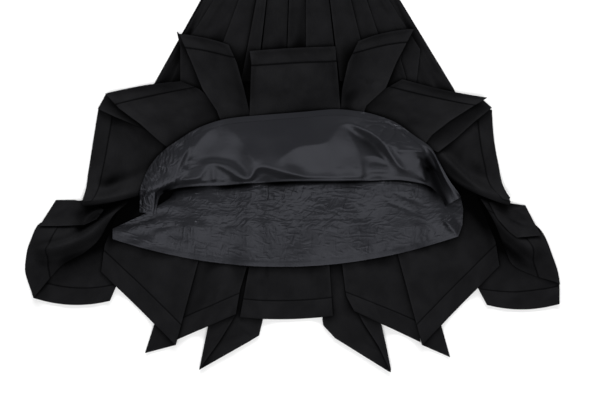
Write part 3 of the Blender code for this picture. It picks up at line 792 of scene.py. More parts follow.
def nearest_on(flat, path):
    """For each point, its distance to a path, how far it lies to the left, and how far along."""
    shape = flat.shape[:2]
    points = flat.reshape(-1, 2)
    best = np.full(len(points), FAR)
    side = np.zeros(len(points))
    along = np.zeros(len(points))
    walked = 0.0
    for start, end in zip(path[:-1], path[1:]):
        line = end - start
        length = np.linalg.norm(line)
        offset = points - start
        share = np.clip(offset @ line / (length * length), 0.0, 1.0)
        distance = np.linalg.norm(offset - share[:, None] * line, axis=1)
        closer = distance < best
        best[closer] = distance[closer]
        turn = line[0] * offset[:, 1] - line[1] * offset[:, 0]
        side[closer] = (turn / (length * (distance + SIDE_SOFTNESS)))[closer]
        along[closer] = walked + share[closer] * length
        walked += length
    return best.reshape(shape), side.reshape(shape), along.reshape(shape), walked


def fold_relief(flat, name):
    """A piece's ridges and troughs, which run into each other softly."""
    up = np.zeros(flat.shape[:2])
    down = np.zeros(flat.shape[:2])
    for fold in FOLDS.get(name, ()):
        distance, side, along, length = nearest_on(flat, rounded(fold.path))
        leftward = (np.clip(side * SIDE_SHARPNESS, -1.0, 1.0) + 1.0) / 2.0
        reach = fold.right + (fold.left - fold.right) * leftward
        run = np.minimum(along, length - along) / min(length * FOLD_END_SHARE, FOLD_END_REACH)
        fade = eased(np.clip(FOLD_END_LEAST + run, 0.0, 1.0))
        relief = fold.height * np.exp(-((distance / reach) ** 2)) * fade
        if fold.height > 0.0:
            up = up + relief ** 3
        else:
            down = down - relief ** 3
    return np.cbrt(up) - np.cbrt(down)


def drawn_heights(flat, lines, edge):
    """Heights that follow the drawn lines and the first and last rows, and run evenly between."""
    pinned = np.zeros(flat.shape[:2], bool)
    height = edge.copy()
    nearest = np.full(flat.shape[:2], FAR)
    for line in lines:
        path = rounded(line)
        distance, _, along, _ = nearest_on(flat, path[:, :2])
        drawn = np.interp(along, steps_along(path[:, :2]), path[:, 2])
        closer = distance < nearest
        height[closer] = drawn[closer]
        nearest[closer] = distance[closer]
        pinned |= distance < PIN_REACH
    height[0] = edge[0]
    pinned[0] = True
    unmarked = nearest[-1] > HEM_PIN_REACH
    height[-1, unmarked] = edge[-1, unmarked]
    pinned[-1] = True
    fixed = height.copy()
    for _ in range(EVEN_PASSES):
        height = np.where(pinned, fixed, mean_beside(height))
    return smooth_out(height, EVEN_BLUR)


def waves(flat, size, seed, stretch=(1.0, 1.0)):
    """Even waves in many directions, about one high, with crests about size apart."""
    random = np.random.default_rng(seed)
    total = np.zeros(flat.shape[:2])
    for _ in range(WAVES):
        angle = random.uniform(0.0, 2.0 * math.pi)
        length = size * random.uniform(*WAVE_LENGTHS)
        phase = random.uniform(0.0, 2.0 * math.pi)
        along = flat[..., 0] * math.cos(angle) / stretch[0]
        along = along + flat[..., 1] * math.sin(angle) / stretch[1]
        total += np.sin(2.0 * math.pi * along / length + phase)
    return total / math.sqrt(WAVES / 2.0)


def rippled(flat, ripple):
    return ripple.height * waves(flat, ripple.size, ripple.seed, ripple.stretch)


def creased(flat, ripple):
    """Thin sharp creases between smooth patches, up to one high."""
    crests = np.abs(waves(flat, ripple.size, ripple.seed, ripple.stretch))
    return (1.0 - np.minimum(crests, 1.0)) ** 2


def spread_round(flat, spot):
    """One in the middle of a spot and falling to nothing round it."""
    x = (flat[..., 0] - spot.x) / spot.reach_x
    y = (flat[..., 1] - spot.y) / spot.reach_y
    return np.exp(-(x ** 2) - y ** 2)


class HeightMap:
    """How high the cloth laid so far reaches, in small square cells."""

    def __init__(self):
        columns = round(2.0 * MAP_HALF_WIDTH / MAP_CELL)
        rows = round(2.0 * MAP_HALF_DEPTH / MAP_CELL)
        self.height = np.zeros((rows, columns))

    def cell_of(self, flat):
        rows, columns = self.height.shape
        column = ((flat[..., 0] + MAP_HALF_WIDTH) / MAP_CELL).astype(int)
        row = ((flat[..., 1] + MAP_HALF_DEPTH) / MAP_CELL).astype(int)
        return np.clip(row, 0, rows - 1), np.clip(column, 0, columns - 1)

    def add(self, grid):
        """Raise the map to a grid of points in space."""
        fine = grid
        for axis in (0, 1):
            step = np.linalg.norm(np.diff(grid[..., :2], axis=axis), axis=2).max()
            fine = refine(fine, max(1, math.ceil(step / MAP_CELL * MAP_OVERLAP)), axis)
        row, column = self.cell_of(fine)
        np.maximum.at(self.height, (row, column), fine[..., 2])

    def support(self, flat, reach):
        """The height that keeps the cells round each point clear of the map."""
        wide = spread(self.height, max(1, round(reach / MAP_CELL)))
        row, column = self.cell_of(flat)
        height = wide[row, column]
        return height + LAYER_GAP * (height > 0.0)


def refine(grid, times, axis):
    """The same surface with each cell cut into several."""
    if times == 1:
        return grid
    grid = np.moveaxis(grid, axis, 0)
    count = (len(grid) - 1) * times + 1
    place = np.linspace(0.0, len(grid) - 1.0, count)
    cell = np.minimum(place.astype(int), len(grid) - 2)
    share = (place - cell)[:, None, None]
    fine = grid[cell] * (1.0 - share) + grid[cell + 1] * share
    return np.moveaxis(fine, 0, axis)


def neighbours(height):
    """The heights to the left, to the right, before and after each point."""
    padded = np.pad(height, 1, mode="edge")
    return padded[1:-1, :-2], padded[1:-1, 2:], padded[:-2, 1:-1], padded[2:, 1:-1]


def spread(height, times):
    """The greatest height within a few cells."""
    for _ in range(times):
        height = np.max((height, *neighbours(height)), axis=0)
    return height


def mean_beside(height):
    """The mean of each point's four neighbours."""
    left, right, before, after = neighbours(height)
    return (left + right + before + after) / 4.0


def relax(support, passes=RELAX_PASSES):
    """Cloth that lies on its support and spans small steps in it."""
    height = support
    for _ in range(passes):
        height = np.maximum(support, mean_beside(height) - SAG)
    return height


def smooth_out(height, passes):
    """The same heights with their small steps blurred."""
    for _ in range(passes):
        height = (height + mean_beside(height)) / 2.0
    return height


def in_space(flat, height):
    return np.dstack((flat, height))


def wall_faces(rows, columns):
    """Quads of a closed wall between two grids of points, outer first."""
    count = rows * columns
    index = np.arange(count).reshape(rows, columns)
    a = index[:-1, :-1].ravel()
    b = index[1:, :-1].ravel()
    c = index[1:, 1:].ravel()
    d = index[:-1, 1:].ravel()
    outer = np.column_stack((a, b, c, d))
    inner = np.column_stack((a, d, c, b)) + count
    rim = np.concatenate((index[0, :], index[1:, -1], index[-1, -2::-1], index[-2:0:-1, 0]))
    after = np.roll(rim, -1)
    sides = np.column_stack((rim, after, after + count, rim + count))
    return np.concatenate((outer, inner, sides))


def twice(values, width):
    """The same values for the outer and for the inner points, in one flat list."""
    values = values.reshape(-1, width)
    return np.concatenate((values, values)).astype(np.float32)


def cloth_object(name, inner, outer, material, label, rule):
    """A closed wall of cloth between two grids of points, with a named mark on its points."""
    rows, columns = outer.shape[:2]
    points = np.concatenate((outer.reshape(-1, 3), inner.reshape(-1, 3))) * MILLIMETRE
    faces = wall_faces(rows, columns)
    mesh = bpy.data.meshes.new(name)
    mesh.vertices.add(len(points))
    mesh.vertices.foreach_set("co", points.astype(np.float32).ravel())
    mesh.loops.add(faces.size)
    mesh.loops.foreach_set("vertex_index", faces.astype(np.int32).ravel())
    mesh.polygons.add(len(faces))
    mesh.polygons.foreach_set("loop_start", np.arange(0, faces.size, 4, dtype=np.int32))
    mesh.update(calc_edges=True)
    layer = mesh.uv_layers.new(name="cloth")
    places = twice(cloth_uv(outer) * MILLIMETRE, 2)
    layer.data.foreach_set("uv", places[faces.ravel()].ravel())
    mark = mesh.attributes.new(label, "FLOAT", "POINT")
    mark.data.foreach_set("value", twice(rule(outer), 1).ravel())
    mesh.validate()
    mesh.shade_smooth()
    mesh.set_sharp_from_angle(angle=math.radians(SHARP_ANGLE))
    mesh.materials.append(material)
    piece = bpy.data.objects.new(name, mesh)
    bpy.context.scene.collection.objects.link(piece)
    return piece


def distances(grid, axis):
    """How far each point lies along its row or its column."""
    gaps = np.linalg.norm(np.diff(grid, axis=axis), axis=2)
    zero = np.zeros_like(np.take(gaps, [0], axis=axis))
    return np.concatenate((zero, np.cumsum(gaps, axis=axis)), axis=axis)


def from_hem(grid):
    """How far each point lies from its column's last one."""
    down = distances(grid, 0)
    return down[-1:] - down


def cloth_uv(outer):
    """Each point's place in the cloth: across from the middle of its row, and down its column."""
    across = distances(outer, 1)
    across = across - across[:, -1:] / 2.0
    return np.dstack((across, distances(outer, 0)))


def at_edges(grid, reach, hem):
    """One at the side edges, and with hem at the last row, falling to nothing near them."""
    across = distances(grid, 1)
    nearest = np.minimum(across, across[:, -1:] - across)
    if hem:
        nearest = np.minimum(nearest, from_hem(grid))
    return np.exp(-((nearest / reach) ** 2))


def edge_wear(outer):
    """Where pressed edges are paler."""
    return at_edges(outer, WEAR_REACH, hem=True)


def seam_shadow_rows(high):
    """The two rows at a hem allowance's sewn edge, for its dark stitch line with painted shadow.
    """
    seam = np.zeros(high.shape[:2])
    seam[:2] = 1.0
    return seam


def hem_strip(name, top, depth, slot, material):
    """The turned hem allowance: the panel's own points near its hem, moved out."""
    back_up = from_hem(top)[::-1]
    even = np.linspace(HEM_ROWS_START, depth - HEM_ROWS_END, HEM_ROWS)
    wanted = np.concatenate(((HEM_START,), even, depth - np.array(SEAM_ROWS)))[::-1]
    low = np.empty((len(wanted), top.shape[1], 3))
    for column in range(top.shape[1]):
        for axis in range(3):
            low[:, column, axis] = np.interp(wanted, back_up[:, column], top[::-1, column, axis])
    low[..., 2] += STRIP_GAP
    rise = np.full(len(wanted), HEM_WALL[slot])
    rise[:2] *= SEWN_SHARES
    rise[-1] *= HEM_SHARE
    high = low.copy()
    high[..., 2] += rise[:, None]
    return cloth_object(name, low, high, material, "seam", seam_shadow_rows), high


def fill(tree, node, sockets):
    """Give each socket of a node its value or its link."""
    for socket, value in sockets.items():
        if isinstance(value, bpy.types.NodeSocket):
            tree.links.new(value, node.inputs[socket])
        else:
            node.inputs[socket].default_value = value


def add_node(tree, kind, sockets, **settings):
    """A new shader node with its settings and its sockets' values and links."""
    node = tree.nodes.new("ShaderNode" + kind)
    for setting, value in settings.items():
        setattr(node, setting, value)
    fill(tree, node, sockets)
    return node


def new_material(name, finish):
    """A material, its nodes, and its shader with the given values."""
    material = bpy.data.materials.new(name)
    material.use_nodes = True
    tree = material.node_tree
    shader = tree.nodes["Principled BSDF"]
    fill(tree, shader, finish)
    return material, tree, shader


def cloth_places(tree):
    return add_node(tree, "UVMap", {}, uv_map="cloth").outputs["UV"]


def threads(tree, place, scale, wobble):
    """Fine diagonal lines on the cloth's own places, as a height."""
    turned = add_node(tree, "Mapping", {"Vector": place, "Scale": (*scale, 1.0)})
    sockets = {
        "Vector": turned.outputs["Vector"], "Scale": 1.0, "Distortion": wobble, "Detail": 1.0,
    }
    wave = add_node(tree, "TexWave", sockets, wave_type="BANDS", bands_direction="DIAGONAL")
    return wave.outputs["Fac"]


def noise_at(tree, place, scale, stretch, detail, angle=0.0, wobble=0.0, **settings):
    """Soft noise on the cloth's own places."""
    turned = add_node(
        tree, "Mapping",
        {"Vector": place, "Rotation": (0.0, 0.0, angle), "Scale": (*stretch, 1.0)},
    )
    sockets = {
        "Vector": turned.outputs["Vector"], "Scale": scale, "Detail": detail, "Distortion": wobble,
    }
    return add_node(tree, "TexNoise", sockets, **settings).outputs["Fac"]


def two_bumps(tree, coarse, fine):
    """The normal of a fine height on a coarse one; each is a height, a strength and a distance."""
    normal = None
    for height, strength, distance in (coarse, fine):
        sockets = {"Height": height, "Strength": strength, "Distance": distance}
        if normal is not None:
            sockets["Normal"] = normal
        normal = add_node(tree, "Bump", sockets).outputs["Normal"]
    return normal


def two_tones(tree, factor, colours, span):
    """A colour that runs from one to another over a span of the factor."""
    ramp = add_node(tree, "ValToRGB", {"Fac": factor})
    for index in (0, 1):
        ramp.color_ramp.elements[index].position = span[index]
        ramp.color_ramp.elements[index].color = (*colours[index], 1.0)
    return ramp.outputs["Color"]


def calculated(tree, operation, first, second):
    return add_node(tree, "Math", {0: first, 1: second}, operation=operation).outputs["Value"]


def mixed(tree, factor, first, second):
    """The first colour or, where the factor is one, the second."""
    sockets = {"Factor": factor, "A": first, "B": second}
    return add_node(tree, "Mix", sockets, data_type="RGBA").outputs["Result"]


def mark_on(tree, label):
    return add_node(tree, "Attribute", {}, attribute_name=label).outputs["Fac"]


def marked(tree, colour, label, share, other):
    """The colour, nearer to another one where the cloth carries a mark."""
    amount = calculated(tree, "MULTIPLY", mark_on(tree, label), share)
    return mixed(tree, amount, colour, (*other, 1.0))


def painted_occlusion_shade(tree, colour, power):
    """The colour with painted shade, darker where other cloth closes it in."""
    near = add_node(tree, "AmbientOcclusion", {"Distance": SHADE_REACH}, samples=SHADE_SAMPLES)
    open_share = calculated(tree, "POWER", near.outputs["AO"], power)
    return mixed(tree, open_share, (*BLACK, 1.0), colour)


def shell_material():
    """Matt black twill: fine diagonal lines, faint slubs, paler where an edge is pressed."""
    material, tree, shader = new_material("shell_twill", SHELL_FINISH)
    place = cloth_places(tree)
    cloud = noise_at(tree, place, scale=20.0, stretch=(1.0, 1.0), detail=4.0)
    tone = two_tones(tree, cloud, (SHELL_DARK, SHELL_LIGHT), CLOUD_RANGE)
    worn = marked(tree, tone, "wear", WEAR_SHARE, SHELL_WORN)
    # Dark stitch line with painted shadow at the hem allowances' sewn edges
    sewn = marked(tree, worn, "seam", SHELL_SEAM_SHADOW_SHARE, SEAM_SHADOW_COLOUR)
    # Painted shade in sunken folds
    valley_shaded = marked(tree, sewn, "valley", PAINTED_SHADE_SHARE, PAINTED_SHADE_COLOUR)
    slub = noise_at(tree, place, scale=60.0, stretch=(6.0, 1.0), detail=3.0)
    twill = threads(tree, place, scale=(700.0, 700.0), wobble=0.6)
    fill(tree, shader, {
        "Base Color": painted_occlusion_shade(tree, valley_shaded, SHADE_POWER["shell"]),
        "Normal": two_bumps(tree, (slub, *SLUB_BUMP), (twill, *TWILL_BUMP)),
    })
    return material


def lining_material():
    """Charcoal satin: a soft broad shine, fine threads and sharp small creases."""
    material, tree, shader = new_material("lining_satin", LINING_FINISH)
    place = cloth_places(tree)
    cloud = noise_at(tree, place, scale=9.0, stretch=(1.0, 1.0), detail=2.0)
    tone = two_tones(tree, cloud, (LINING_DARK, LINING_LIGHT), CLOUD_RANGE)
    # Dark stitch line with painted shadow at the hem allowances' sewn edges
    sewn = marked(tree, tone, "seam", LINING_SEAM_SHADOW_SHARE, SEAM_SHADOW_COLOUR)
    # Painted shade in sunken folds
    valley_shaded = marked(tree, sewn, "valley", PAINTED_SHADE_SHARE, PAINTED_SHADE_COLOUR)
    long = noise_at(
        tree, place, scale=66.0, stretch=(0.6, 1.5), detail=3.0, angle=-0.3, wobble=0.6,
        noise_type="RIDGED_MULTIFRACTAL",
    )
    upright = noise_at(
        tree, place, scale=50.0, stretch=(1.9, 0.6), detail=3.0, angle=0.45, wobble=0.8,
        noise_type="RIDGED_MULTIFRACTAL",
    )
    both = calculated(tree, "ADD", long, upright)
    crumple = calculated(tree, "MULTIPLY", both, mark_on(tree, "crumple"))
    satin = threads(tree, place, scale=(1400.0, 300.0), wobble=0.3)
    # Painted shade on the reflection: in sunken folds the satin's reflection tint runs to
    # near-black, and it is rougher
    hidden = mark_on(tree, "valley")
    dull = add_node(
        tree, "MapRange",
        {"Value": hidden, "To Min": LINING_ROUGHNESS, "To Max": LINING_DULL_ROUGHNESS},
    )
    fill(tree, shader, {
        "Base Color": painted_occlusion_shade(tree, valley_shaded, SHADE_POWER["lining"]),
        "Normal": two_bumps(tree, (crumple, *CRUMPLE_BUMP), (satin, *SATIN_BUMP)),
        "Roughness": dull.outputs["Result"],
        "Specular Tint": two_tones(tree, hidden, (LINING_GLINT, PAINTED_SHADE_COLOUR), (0.0, 1.0)),
    })
    return material


def outward_of(row):
    """Unit vectors square to a row of points, away from the rows before it."""
    along = np.gradient(row, axis=0)
    outward = np.stack((along[:, 1], -along[:, 0]), axis=1)
    return outward / np.linalg.norm(outward, axis=1)[:, None]


def fade_from_turn(flat, reach):
    """One at the first row of a grid, falling to nothing at a distance from it."""
    distance = np.linalg.norm(flat - flat[0][None], axis=2)
    return eased(np.clip(1.0 - distance / reach, 0.0, 1.0))


def painted_gap_shade(places):
    """How much painted shade each point gets in the open gap beside the front lining's right
    strip.
    """
    away, _, along, length = nearest_on(places[None].astype(float), rounded(GAP_SHADE_LINE))
    reach = np.interp(along / length, np.linspace(0.0, 1.0, len(GAP_SHADE_REACH)), GAP_SHADE_REACH)
    return np.exp(-((away / reach) ** 2))[0] - GAP_SHADE_CUT


def paint_valley_shade(stack, shell_height):
    """Paint shade on every piece: mark how far each point lies below the cloth of its kind round
    it.
    """
    around = {
        "shell": smooth_out(shell_height, PAINTED_SHADE_PASSES),
        "lining": smooth_out(stack.height, PAINTED_SHADE_PASSES),
    }
    for piece in bpy.context.scene.collection.objects:
        if "_cloth" not in piece.name and "_hem" not in piece.name:
            continue
        kind = "lining" if piece.name.startswith("lining") else "shell"
        mesh = piece.data
        places = np.empty(3 * len(mesh.vertices), np.float32)
        mesh.vertices.foreach_get("co", places)
        places = places.reshape(-1, 3) / MILLIMETRE
        row, column = stack.cell_of(places[:, :2])
        below = around[kind][row, column] - places[:, 2]
        depth = (below - PAINTED_SHADE_START[kind]) / PAINTED_SHADE_DEPTH[kind]
        if piece.name == "lining_front_cloth":
            depth = np.maximum(depth, painted_gap_shade(places[:, :2]))
        mark = mesh.attributes.new("valley", "FLOAT", "POINT")
        mark.data.foreach_set("value", np.clip(depth, 0.0, 1.0).astype(np.float32))


class Turned:
    """A piece that lies outer side up, turns round a fold and lies on itself."""

    def __init__(self, name, lower_flat, upper_flat, slot, reach, rise, cell):
        self.name = name
        self.lower_flat = lower_flat
        self.upper_flat = upper_flat
        self.slot = slot
        self.wall = WALL[slot]
        self.reach = reach
        self.rise = rise
        self.cell = cell

    def lay_lower(self, stack):
        """Lay the lower run, with one more row where the fold will reach past it."""
        last = self.lower_flat[-1]
        past = last + outward_of(last) * (self.reach + self.wall)
        support = relax(stack.support(np.concatenate((self.lower_flat, past[None])), self.cell))
        support[-2] = np.maximum(support[-2], support[-1])
        self.lower_low = support[:-1]
        self.lower_high = self.lower_low + self.wall
        stack.add(in_space(self.lower_flat, self.lower_high))

    def settle(self, stack, low):
        """Put the upper run at its heights, with the fold that joins it to the lower one."""
        self.upper_low = low
        self.upper_high = low + self.wall
        self.turn_inner, self.turn_outer = self.turn_rows()
        stack.add(self.turn_outer)
        stack.add(in_space(self.upper_flat, self.upper_high))

    def lay_upper(self, stack, relief):
        support = stack.support(self.upper_flat, self.cell)
        lift = self.rise * fade_from_turn(self.upper_flat, TURN_FADE)
        height = smooth_out(spread(relax(support), TURNED_SPREAD), TURNED_BLUR) + lift
        self.settle(stack, np.maximum(relax(support, TURNED_RELAX), height + relief))

    def lay_drawn(self, stack, lines, relief, fine):
        """Lay the upper run at the heights of its drawn lines."""
        support = stack.support(self.upper_flat, self.cell)
        edge = smooth_out(relax(support), LINING_EDGE_BLUR)
        edge[0] = smooth_out(self.lower_high, LINING_TURN_BLUR)[-1] + self.rise
        height = drawn_heights(self.upper_flat, lines, edge) + relief
        self.settle(stack, relax(np.maximum(support, height), TURNED_RELAX) + fine)

    def turn_rows(self):
        outward = outward_of(self.lower_flat[-1])
        low = self.lower_high[-1]
        high = self.upper_low[0]
        inner = []
        outer = []
        for step in range(1, TURN_STEPS + 1):
            angle = -math.pi / 2.0 + math.pi * step / (TURN_STEPS + 1)
            flat = self.lower_flat[-1] + outward * (self.reach * math.cos(angle))
            height = (low + high) / 2.0 + (high - low) / 2.0 * math.sin(angle)
            inner.append(np.column_stack((flat, height)))
            skin = flat + outward * (self.wall * math.cos(angle))
            outer.append(np.column_stack((skin, height + self.wall * math.sin(angle))))
        return np.array(inner), np.array(outer)

    def build(self, material, label, rule):
        """Make the cloth: its lower run, the turn and its upper run."""
        sheets = []
        for low, turn, high in (
            (self.lower_high, self.turn_inner, self.upper_low),
            (self.lower_low, self.turn_outer, self.upper_high),
        ):
            below = in_space(self.lower_flat, low)
            sheets.append(np.concatenate((below, turn, in_space(self.upper_flat, high))))
        inner, outer = sheets
        return cloth_object(self.name + "_cloth", inner, outer, material, label, rule)

    def area(self):
        """The flat area of both runs and of the fold between them."""
        turn_length = np.linalg.norm(np.diff(self.lower_flat[-1], axis=0), axis=1).sum()
        rise = np.linalg.norm(np.diff(self.turn_outer, axis=0), axis=2).sum(axis=0).mean()
        return area_of(self.lower_flat) + area_of(self.upper_flat) + rise * turn_length


def area_of(flat):
    """The flat area of a grid of points, in square millimetres."""
    diagonal = flat[1:, 1:] - flat[:-1, :-1]
    total = 0.0
    for corner in (flat[1:, :-1], flat[:-1, 1:]):
        side = corner - flat[:-1, :-1]
        total += np.abs(side[..., 0] * diagonal[..., 1] - side[..., 1] * diagonal[..., 0]).sum()
    return float(total) / 2.0


def declare(piece, node, flat, area, strips=()):
    """Seat a piece and its strips on the frame and hide its part; its cut is worked out but not
    used.
    """
    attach(piece, "root")
    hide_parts(node)
    for strip in strips:
        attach(strip, "root")
    width = round(float(distances(flat, 1).max()) * MILLIMETRE, 3)
    length = round(float(distances(flat, 0).max()) * MILLIMETRE, 3)
    area = min(area * MILLIMETRE * MILLIMETRE, width * length)


def hem_grid(top, edge):
    """The piece's points with its hem as the last row."""
    if edge == "left":
        return np.swapaxes(top[:, ::-1], 0, 1)
    if edge == "right":
        return np.swapaxes(top, 0, 1)
    return top


class Skirt:
    """Lays every piece in order, from the surface below to the lining on top."""

    def __init__(self):
        self.stack = HeightMap()
        self.materials = {"shell": shell_material(), "lining": lining_material()}

    def lay(self, name, flat, low, wall, rule, hem=None):
        """Make a piece that lies open, and its hem allowance at one edge, and raise the map."""
        slot = "lining" if name.startswith("lining") else "shell"
        label = "crumple" if slot == "lining" else "wear"
        material = self.materials[slot]
        top = in_space(flat, low + wall)
        piece = cloth_object(
            name + "_cloth", in_space(flat, low), top, material, label, rule
        )
        self.stack.add(top)
        strips = []
        if hem is not None:
            edge, depth = hem
            strip, high = hem_strip(
                name + "_hem_" + edge, hem_grid(top, edge), depth, slot, material
            )
            self.stack.add(high)
            strips.append(strip)
        declare(piece, name, flat, area_of(flat), strips)

    def plain(self, name, sections, cell=SHELL_CELL, bow=0.0, smooth=False,
              hidden_above=None, hem=None, edge_lip=FOLD_LIP):
        """Lay a piece of the shell on what is below it, with its folds."""
        flat = loft(sections, cell, columns_for(sections, cell), bow, smooth, hidden_above)
        support = self.stack.support(flat, cell)
        height = smooth_out(relax(support), SHELL_BLUR) + fold_relief(flat, name)
        height = height + edge_lip * at_edges(flat, FOLD_LIP_REACH, hem=False)
        height = height + SHELL_WAVE_HEIGHT * waves(flat, SHELL_WAVE_SIZE, len(name))
        low = np.maximum(relax(support, OPEN_RELAX), height)
        self.lay(name, flat, low, WALL["shell"], edge_wear, hem)

    def waistband(self, name, low_y):
        sections = (
            (WAISTBAND_LEFT_X, WAISTBAND_TOP_Y, WAISTBAND_RIGHT_X, WAISTBAND_TOP_Y),
            (WAISTBAND_LEFT_X, low_y, WAISTBAND_RIGHT_X, low_y),
        )
        flat = loft(sections, SHELL_CELL, columns_for(sections, SHELL_CELL))
        support = self.stack.support(flat, SHELL_CELL)
        low = np.maximum(support, smooth_out(relax(support), SHELL_BLUR))
        self.lay(name, flat, low, WAISTBAND_WALL, edge_wear)

    def lay_back(self):
        self.waistband("waistband_back", WAISTBAND_BACK_LOW_Y)
        for name, sections in BACK.items():
            depth = BACK_HEM_DEPTH.get(name.split("_")[-1])
            self.plain(
                name, sections, bow=BACK_HEM_BOW.get(name, 0.0),
                hidden_above=BACK_HIDDEN_Y, hem=None if depth is None else ("low", depth),
            )

    def lay_back_lining(self):
        columns = columns_for(LINING_BACK, LINING_CELL)
        flat = loft(
            LINING_BACK, LINING_CELL, columns, LINING_HEM_BOW, hidden_above=LINING_HIDDEN_Y
        )
        support = self.stack.support(flat, LINING_CELL)
        height = smooth_out(spread(relax(support), LINING_SPREAD), LINING_BLUR)
        relief = fold_relief(flat, "lining_back") + LINING_LIFT + crumpled_back(flat)
        low = relax(np.maximum(support, height + relief), OPEN_RELAX) + fine_back(flat)
        self.lay(
            "lining_back", flat, low, WALL["lining"], back_crumple,
            ("low", LINING_HEM_DEPTH),
        )

    def lay_sides(self):
        for name, sections in SIDES.items():
            edge = "left" if "left" in name else "right"
            hem = (edge, SIDE_HEM_DEPTH[name]) if name in SIDE_HEM_DEPTH else None
            self.plain(
                name, sections, cell=SIDE_CELL,
                smooth=hem is not None, hem=hem, edge_lip=0.0,
            )

    def turned(self, name):
        """A panel of the front shell, its runs bowed out where they meet at the turn."""
        reach = SIDE_TURN_REACH if name in SIDE_TURN_RISE else SHELL_TURN_REACH
        first = FRONT_LOWER[name]
        second = first[-1:] + FRONT_UPPER[name]
        columns = columns_for(first + second, SHELL_CELL)
        lower = loft(first, SHELL_CELL, columns)
        upper = loft(second, SHELL_CELL, columns, FRONT_HEM_BOW.get(name, 0.0))
        bow = TURN_BOW.get(name, 0.0) * arch(np.linspace(0.0, 1.0, columns + 1))
        out = (outward_of(lower[-1]) * bow[:, None])[None]
        lower = lower + out * fade_from_turn(lower[::-1], BOW_FADE)[::-1][..., None]
        upper = upper + out * fade_from_turn(upper, BOW_FADE)[..., None]
        rise = SIDE_TURN_RISE.get(name, SHELL_TURN_RISE)
        return Turned(name, lower, upper, "shell", reach, rise, SHELL_CELL)

    def finish_turned(self, panel, depth, label, rule):
        """Make a turned piece and its hem allowance, and seat them on the frame."""
        material = self.materials[panel.slot]
        piece = panel.build(material, label, rule)
        top = in_space(panel.upper_flat, panel.upper_high)
        strip, high = hem_strip(panel.name + "_hem", top, depth, panel.slot, material)
        flat = np.concatenate((panel.lower_flat, panel.upper_flat))
        declare(piece, panel.name, flat, panel.area(), (strip,))
        return high

    def lay_turned(self, panel):
        """Lay a panel's upper run with its folds and its raised edges."""
        flat = panel.upper_flat
        relief = fold_relief(flat, panel.name)
        relief = relief + PANEL_WAVE_HEIGHT * waves(flat, PANEL_WAVE_SIZE, len(panel.name))
        edges = PANEL_LIP * at_edges(flat, PANEL_LIP_REACH, hem=True)
        relief = relief + edges * (1.0 - fade_from_turn(flat, LIP_FADE))
        panel.lay_upper(self.stack, relief)
        self.stack.add(self.finish_turned(panel, FRONT_HEM_DEPTH, "wear", edge_wear))

    def lay_all(self):
        self.lay_back()
        self.lay_back_lining()
        lining = turned_lining()
        lining.lay_lower(self.stack)
        self.lay_sides()
        panels = [self.turned(name) for name in FRONT_LOWER]
        for panel in panels:
            panel.lay_lower(self.stack)
        for name, sections in PLEATS.items():
            self.plain(name, sections)
        self.waistband("waistband_front", WAIST_SEAM_Y - WAISTBAND_LAP)
        for panel in panels:
            if panel.name in SIDE_TURN_RISE:
                self.lay_turned(panel)
        for name, sections in FRONT_UNDERLAYS.items():
            self.plain(name, sections)
        for panel in panels:
            if panel.name not in SIDE_TURN_RISE:
                self.lay_turned(panel)
        self.shell_height = self.stack.height.copy()
        flat = lining.upper_flat
        lining.lay_drawn(self.stack, LINING_LINES, rippled(flat, FRONT_WAVES), fine_front(flat))
        self.finish_turned(
            lining, LINING_HEM_DEPTH, "crumple", front_crumple
        )


def turned_lining():
    """The front lining, whose ribs are spread evenly along its hem."""
    ribs = np.array(LINING_RIBS, float)
    along = steps_along(ribs[:, 3:5])
    places = np.linspace(0.0, along[-1], math.ceil(along[-1] / LINING_CELL) + 1)
    rib = Rib(*(monotone(along, values, places) for values in ribs.T))
    waist = np.column_stack((rib.waist_x, np.full(len(places), WAIST_SEAM_Y - WAISTBAND_LAP)))
    turn = np.column_stack((rib.turn_x, rib.turn_y))
    hem = np.column_stack((rib.hem_x, rib.hem_y))
    lower = np.linspace(0.0, 1.0, LINING_LOWER_ROWS)[:, None, None]
    upper = np.linspace(0.0, 1.0, LINING_UPPER_ROWS)[:, None, None]
    return Turned(
        "lining_front", waist + (turn - waist) * lower, turn + (hem - turn) * upper,
        "lining", LINING_TURN_REACH, LINING_TURN_RISE, LINING_CELL,
    )


def crumpled_back(flat):
    """The back lining's soft unevenness, its swell below the fold and its raised left end."""
    distance, side, _, _ = nearest_on(flat, rounded(SWELL_LINE))
    swell = SWELL_RISE * np.exp(-((distance / np.where(side > 0.0, *SWELL_REACH)) ** 2))
    for fade in SWELL_FADES:
        swell = swell * np.clip((flat[..., 0] - fade.start) / fade.run, fade.least, 1.0)
    left_end = LEFT_END_RISE * spread_round(flat, LEFT_END)
    streaks = rippled(flat, STREAKS) * spread_round(flat, STREAKED)
    return swell + left_end + streaks + rippled(flat, BACK_WAVES)


def back_crumple(outer):
    """How much of the fine crumpling shows: most of it just below the fold."""
    everywhere, dense = BACK_CRUMPLE
    return everywhere + dense * spread_round(outer, DENSE_CRUMPLE)


def front_crumple(outer):
    """The turned lining is smooth but for its gathered left end."""
    everywhere, gathered = FRONT_CRUMPLE
    return everywhere + gathered * spread_round(outer, GATHERED)


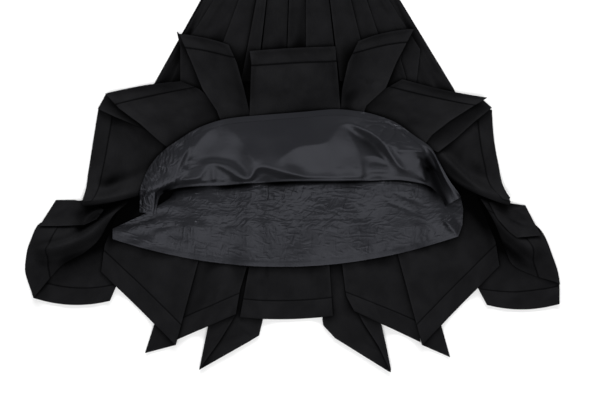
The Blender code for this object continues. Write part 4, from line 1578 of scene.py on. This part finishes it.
def fine_front(flat):
    """Sharp puckers that run in from the gathered left part of the hem, creases at the right."""
    rise = from_hem(flat)
    along = distances(flat, 1)[-1:]
    phase = (along + PUCKER_SLANT * rise + rippled(flat, PUCKER_WOBBLE)) * math.pi / PUCKER_SPACING
    pucker = (1.0 - np.abs(np.sin(phase))) ** PUCKER_POWER
    left = np.clip((1.0 - along / PUCKER_RUN) * PUCKER_FULL, 0.0, 1.0)
    puckers = PUCKER_HEIGHT * pucker * np.exp(-((rise / PUCKER_DEPTH) ** 2)) * left
    right = RIGHT_CREASES.height * creased(flat, RIGHT_CREASES)
    right = right * spread_round(flat, RIGHT_CREASED)
    return (puckers + right) * np.clip(distances(flat, 0) / TURN_SETTLE, 0.0, 1.0)


def fine_back(flat):
    """Small sharp creases all over the back lining, deepest just below the fold."""
    dense = DENSE_RISE * spread_round(flat, DENSE_CREASES)
    long = (LONG_CREASES.height + dense) * creased(flat, LONG_CREASES)
    return long + UPRIGHT_CREASES.height * creased(flat, UPRIGHT_CREASES)


def area_light(name, energy, size, place):
    data = bpy.data.lights.new(name, "AREA")
    data.shape = "RECTANGLE"
    data.size = size[0]
    data.size_y = size[1]
    data.energy = energy
    lamp = bpy.data.objects.new(name, data)
    bpy.context.scene.collection.objects.link(lamp)
    lamp.location = place
    aim = Vector(LIGHT_TARGET) - lamp.location
    lamp.rotation_euler = aim.to_track_quat("-Z", "Y").to_euler()


def build_stage():
    """A pale floor, soft light from all round and the camera straight above."""
    scene = bpy.context.scene
    bpy.ops.mesh.primitive_plane_add(size=FLOOR_SIZE, location=(0.0, 0.0, FLOOR_Z))
    floor = bpy.context.object
    floor.name = "floor"
    finish = {"Base Color": (*FLOOR_COLOUR, 1.0), "Roughness": FLOOR_ROUGHNESS}
    floor.data.materials.append(new_material("floor_paper", finish)[0])
    world = bpy.data.worlds.new("studio")
    world.use_nodes = True
    sky = world.node_tree.nodes["Background"]
    sky.inputs["Color"].default_value = (*WHITE, 1.0)
    sky.inputs["Strength"].default_value = WORLD_STRENGTH
    scene.world = world
    for light in LIGHTS:
        area_light(*light)
    data = bpy.data.cameras.new("camera")
    data.lens = VIEW_LENS
    data.sensor_width = SENSOR_WIDTH
    data.clip_end = CLIP_END
    camera = bpy.data.objects.new("camera", data)
    camera.location = [place * MILLIMETRE for place in VIEW]
    scene.collection.objects.link(camera)
    scene.camera = camera
    scene.view_settings.view_transform = "Standard"
    scene.view_settings.look = "None"


def main():
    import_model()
    build_stage()
    skirt = Skirt()
    skirt.lay_all()
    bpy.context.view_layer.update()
    paint_valley_shade(skirt.stack, skirt.shell_height)


main()
